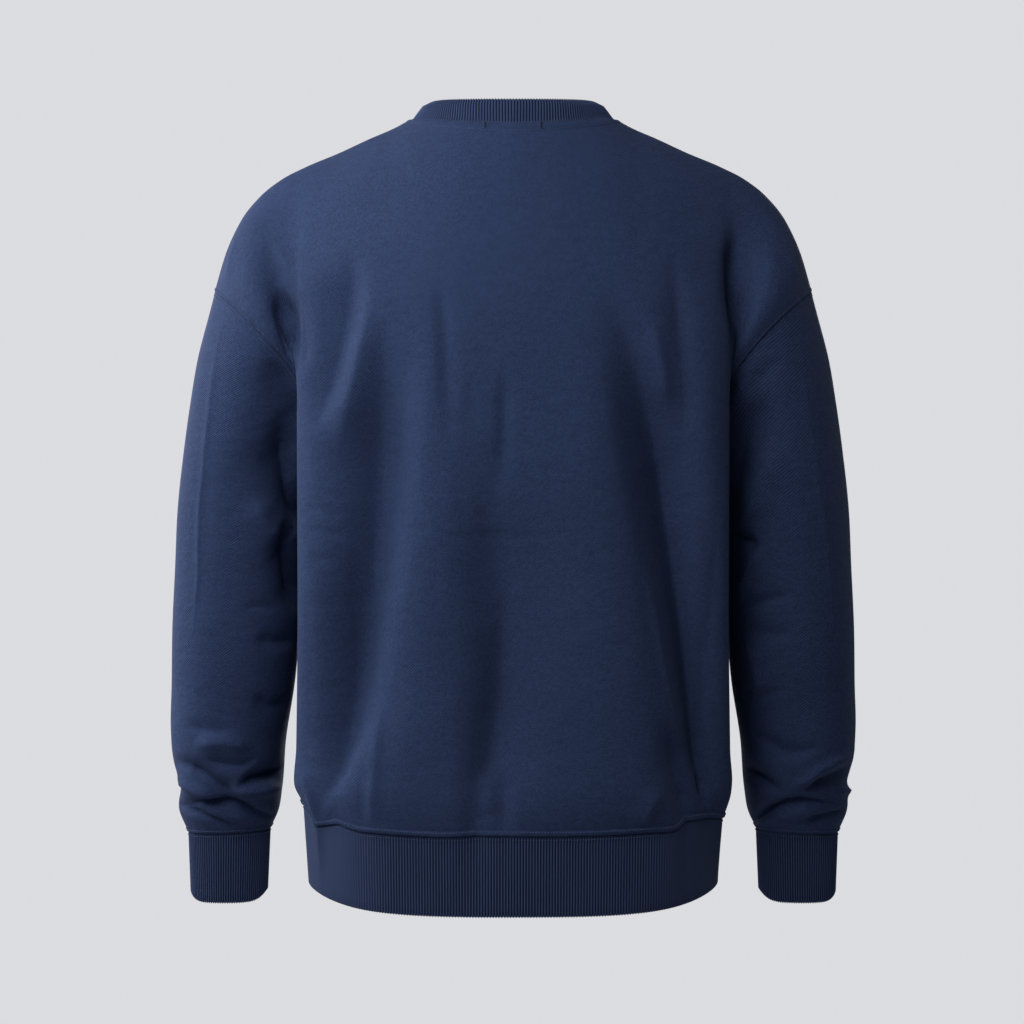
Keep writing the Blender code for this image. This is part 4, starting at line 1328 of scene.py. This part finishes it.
panels = {1: (back, outward(back, 1)), -1: (front, outward(front, -1))}
rows = len(YOKE_ROWS)
paths = []
for grid, normals in panels.values():
    for last in (True, False):
        paths.append(beside(grid[:rows], normals[:rows], ARM_WELT.row, 1, from_end=last))
for mirror in (1, -1):
    paths.append(round_row(sleeves[mirror], -mirror, SLEEVE_WELT.row))
sew("armhole_stitches", paths, ARM_ROW, 3, THREAD)

paths = [beside(grid, normals, HEM_WELT.row, 0, from_end=True) for grid, normals in panels.values()]
paths.append(round_row(hem_rows, 1, BAND_ROW))
sew("hem_stitches", paths, FINE_ROW, 5, THREAD)

paths = [beside(grid[:, AT_NECK], normals[:, AT_NECK], NECK_WELT.row, 0)
         for grid, normals in panels.values()]
paths.append(round_row(collar_rows, -1, COLLAR_ROW))
sew("neck_stitches", paths, FINE_ROW, 7, THREAD)

# The bars run down from the neck seam to its row of stitches.
grid, normals = panels[1]
paths = []
for x in TACK_X:
    nearest = np.argmin(np.abs(grid[0, :, 0] - x))
    reach = run(grid, 0)[:, nearest]
    bar = (reach > TACK_FROM) & (reach < NECK_WELT.row - TACK_SHORT)
    paths.append((grid + TACK_LIFT * normals)[bar, nearest])
sew("neck_tacks", paths, TACK, 8, TACK_THREAD)

paths = []
for mirror in (1, -1):
    paths.append(round_row(sleeves[mirror], -mirror, CUFF_WELT.row, from_end=True))
    paths.append(round_row(cuffs[mirror], -mirror, BAND_ROW))
sew("cuff_stitches", paths, FINE_ROW, 9, THREAD)


# ---- Studio ----
# A plain pale floor at a wearer's standing height, round soft lamps, most of them to the left of the
# back view or low beyond the garment, and a level camera behind it.

FLOOR_Z = -1.45
FLOOR_RADIUS = 2.4
FLOOR_SIDES = 96
FLOOR_COLOUR = (0.42, 0.425, 0.44, 1.0)
STUDIO_COLOUR = (0.716, 0.719, 0.745, 1.0)
STUDIO_GLOW = 0.10

# Lamps: turned so far from the back view's direction towards the wearer's left, raised so far, at
# this distance in metres, so wide in metres, and their power in watts.
Lamp = namedtuple("Lamp", "turn rise far size power")
LAMPS = (
    Lamp(30, 33, 1.3, 1.0, 14.0),
    Lamp(72, 22, 1.6, 1.1, 15.0),
    Lamp(102, 12, 1.7, 1.2, 33.0),
    Lamp(8, 42, 1.45, 1.0, 1.8),
    Lamp(14, 22, 1.8, 1.0, 3.4),
    Lamp(-110, 8, 1.8, 1.2, 6.5),
    Lamp(192, 8, 1.9, 1.2, 32.0),
    Lamp(150, 8, 1.9, 1.2, 13.0),
)

# Where the lamps aim, and the camera behind the garment, in metres; its lens in millimetres.
AIM = (0.0, 0.0, -0.25)
CAMERA_DISTANCE = 2.0
CAMERA_X = 0.0011
CAMERA_Z = -0.3456
CAMERA_LENS = 78.125


def floor():
    """A round matt floor, far below the garment."""
    mesh = bpy.data.meshes.new("studio_floor")
    angle = np.linspace(0, 2 * math.pi, FLOOR_SIDES, endpoint=False)
    points = stack(FLOOR_RADIUS * np.cos(angle), FLOOR_RADIUS * np.sin(angle), FLOOR_Z)
    mesh.from_pydata(points.tolist(), [], [tuple(range(FLOOR_SIDES))])
    surface, tree, face = shader("studio_floor")
    give(tree, face, {"Base Color": FLOOR_COLOUR, "Roughness": 0.9, "Specular IOR Level": 0.1})
    mesh.materials.append(surface)
    placed("studio_floor", mesh)


def aimed(made, place, target):
    """Puts a lamp or a camera in its place, level and turned towards its target."""
    away = np.array(place) - np.array(target)
    flat = math.hypot(away[0], away[1])
    made.location = place
    made.rotation_euler = (math.atan2(flat, away[2]), 0, math.atan2(away[0], -away[1]))


def studio():
    """A pale room, which shows brighter than it lights the garment."""
    world = bpy.data.worlds.new("studio")
    world.use_nodes = True
    tree = world.node_tree
    seen = tree.nodes["Background"]
    give(tree, seen, {"Color": STUDIO_COLOUR})
    glow = add(tree, "ShaderNodeBackground", 0, {"Color": STUDIO_COLOUR, "Strength": STUDIO_GLOW})
    to_camera = add(tree, "ShaderNodeLightPath", "Is Camera Ray", {})
    mix = add(tree, "ShaderNodeMixShader", 0, {0: to_camera, 1: glow, 2: seen.outputs[0]})
    give(tree, tree.nodes["World Output"], {"Surface": mix})
    bpy.context.scene.world = world


floor()
studio()
for number, lamp in enumerate(LAMPS):
    light = bpy.data.lights.new(f"softbox_{number}", "AREA")
    light.shape = "DISK"
    light.size = lamp.size
    light.energy = lamp.power
    turn = math.radians(lamp.turn)
    rise = math.radians(lamp.rise)
    way = (math.sin(turn) * math.cos(rise), math.cos(turn) * math.cos(rise), math.sin(rise))
    softbox = placed(light.name, light)
    softbox.visible_camera = False
    aimed(softbox, [start + lamp.far * step for start, step in zip(AIM, way)], AIM)
bpy.context.scene.view_settings.view_transform = "Standard"

lens = bpy.data.cameras.new("camera")
lens.lens = CAMERA_LENS
camera = placed("camera", lens)
aimed(camera, (CAMERA_X, CAMERA_DISTANCE, CAMERA_Z), (CAMERA_X, 0.0, CAMERA_Z))
bpy.context.scene.camera = camera
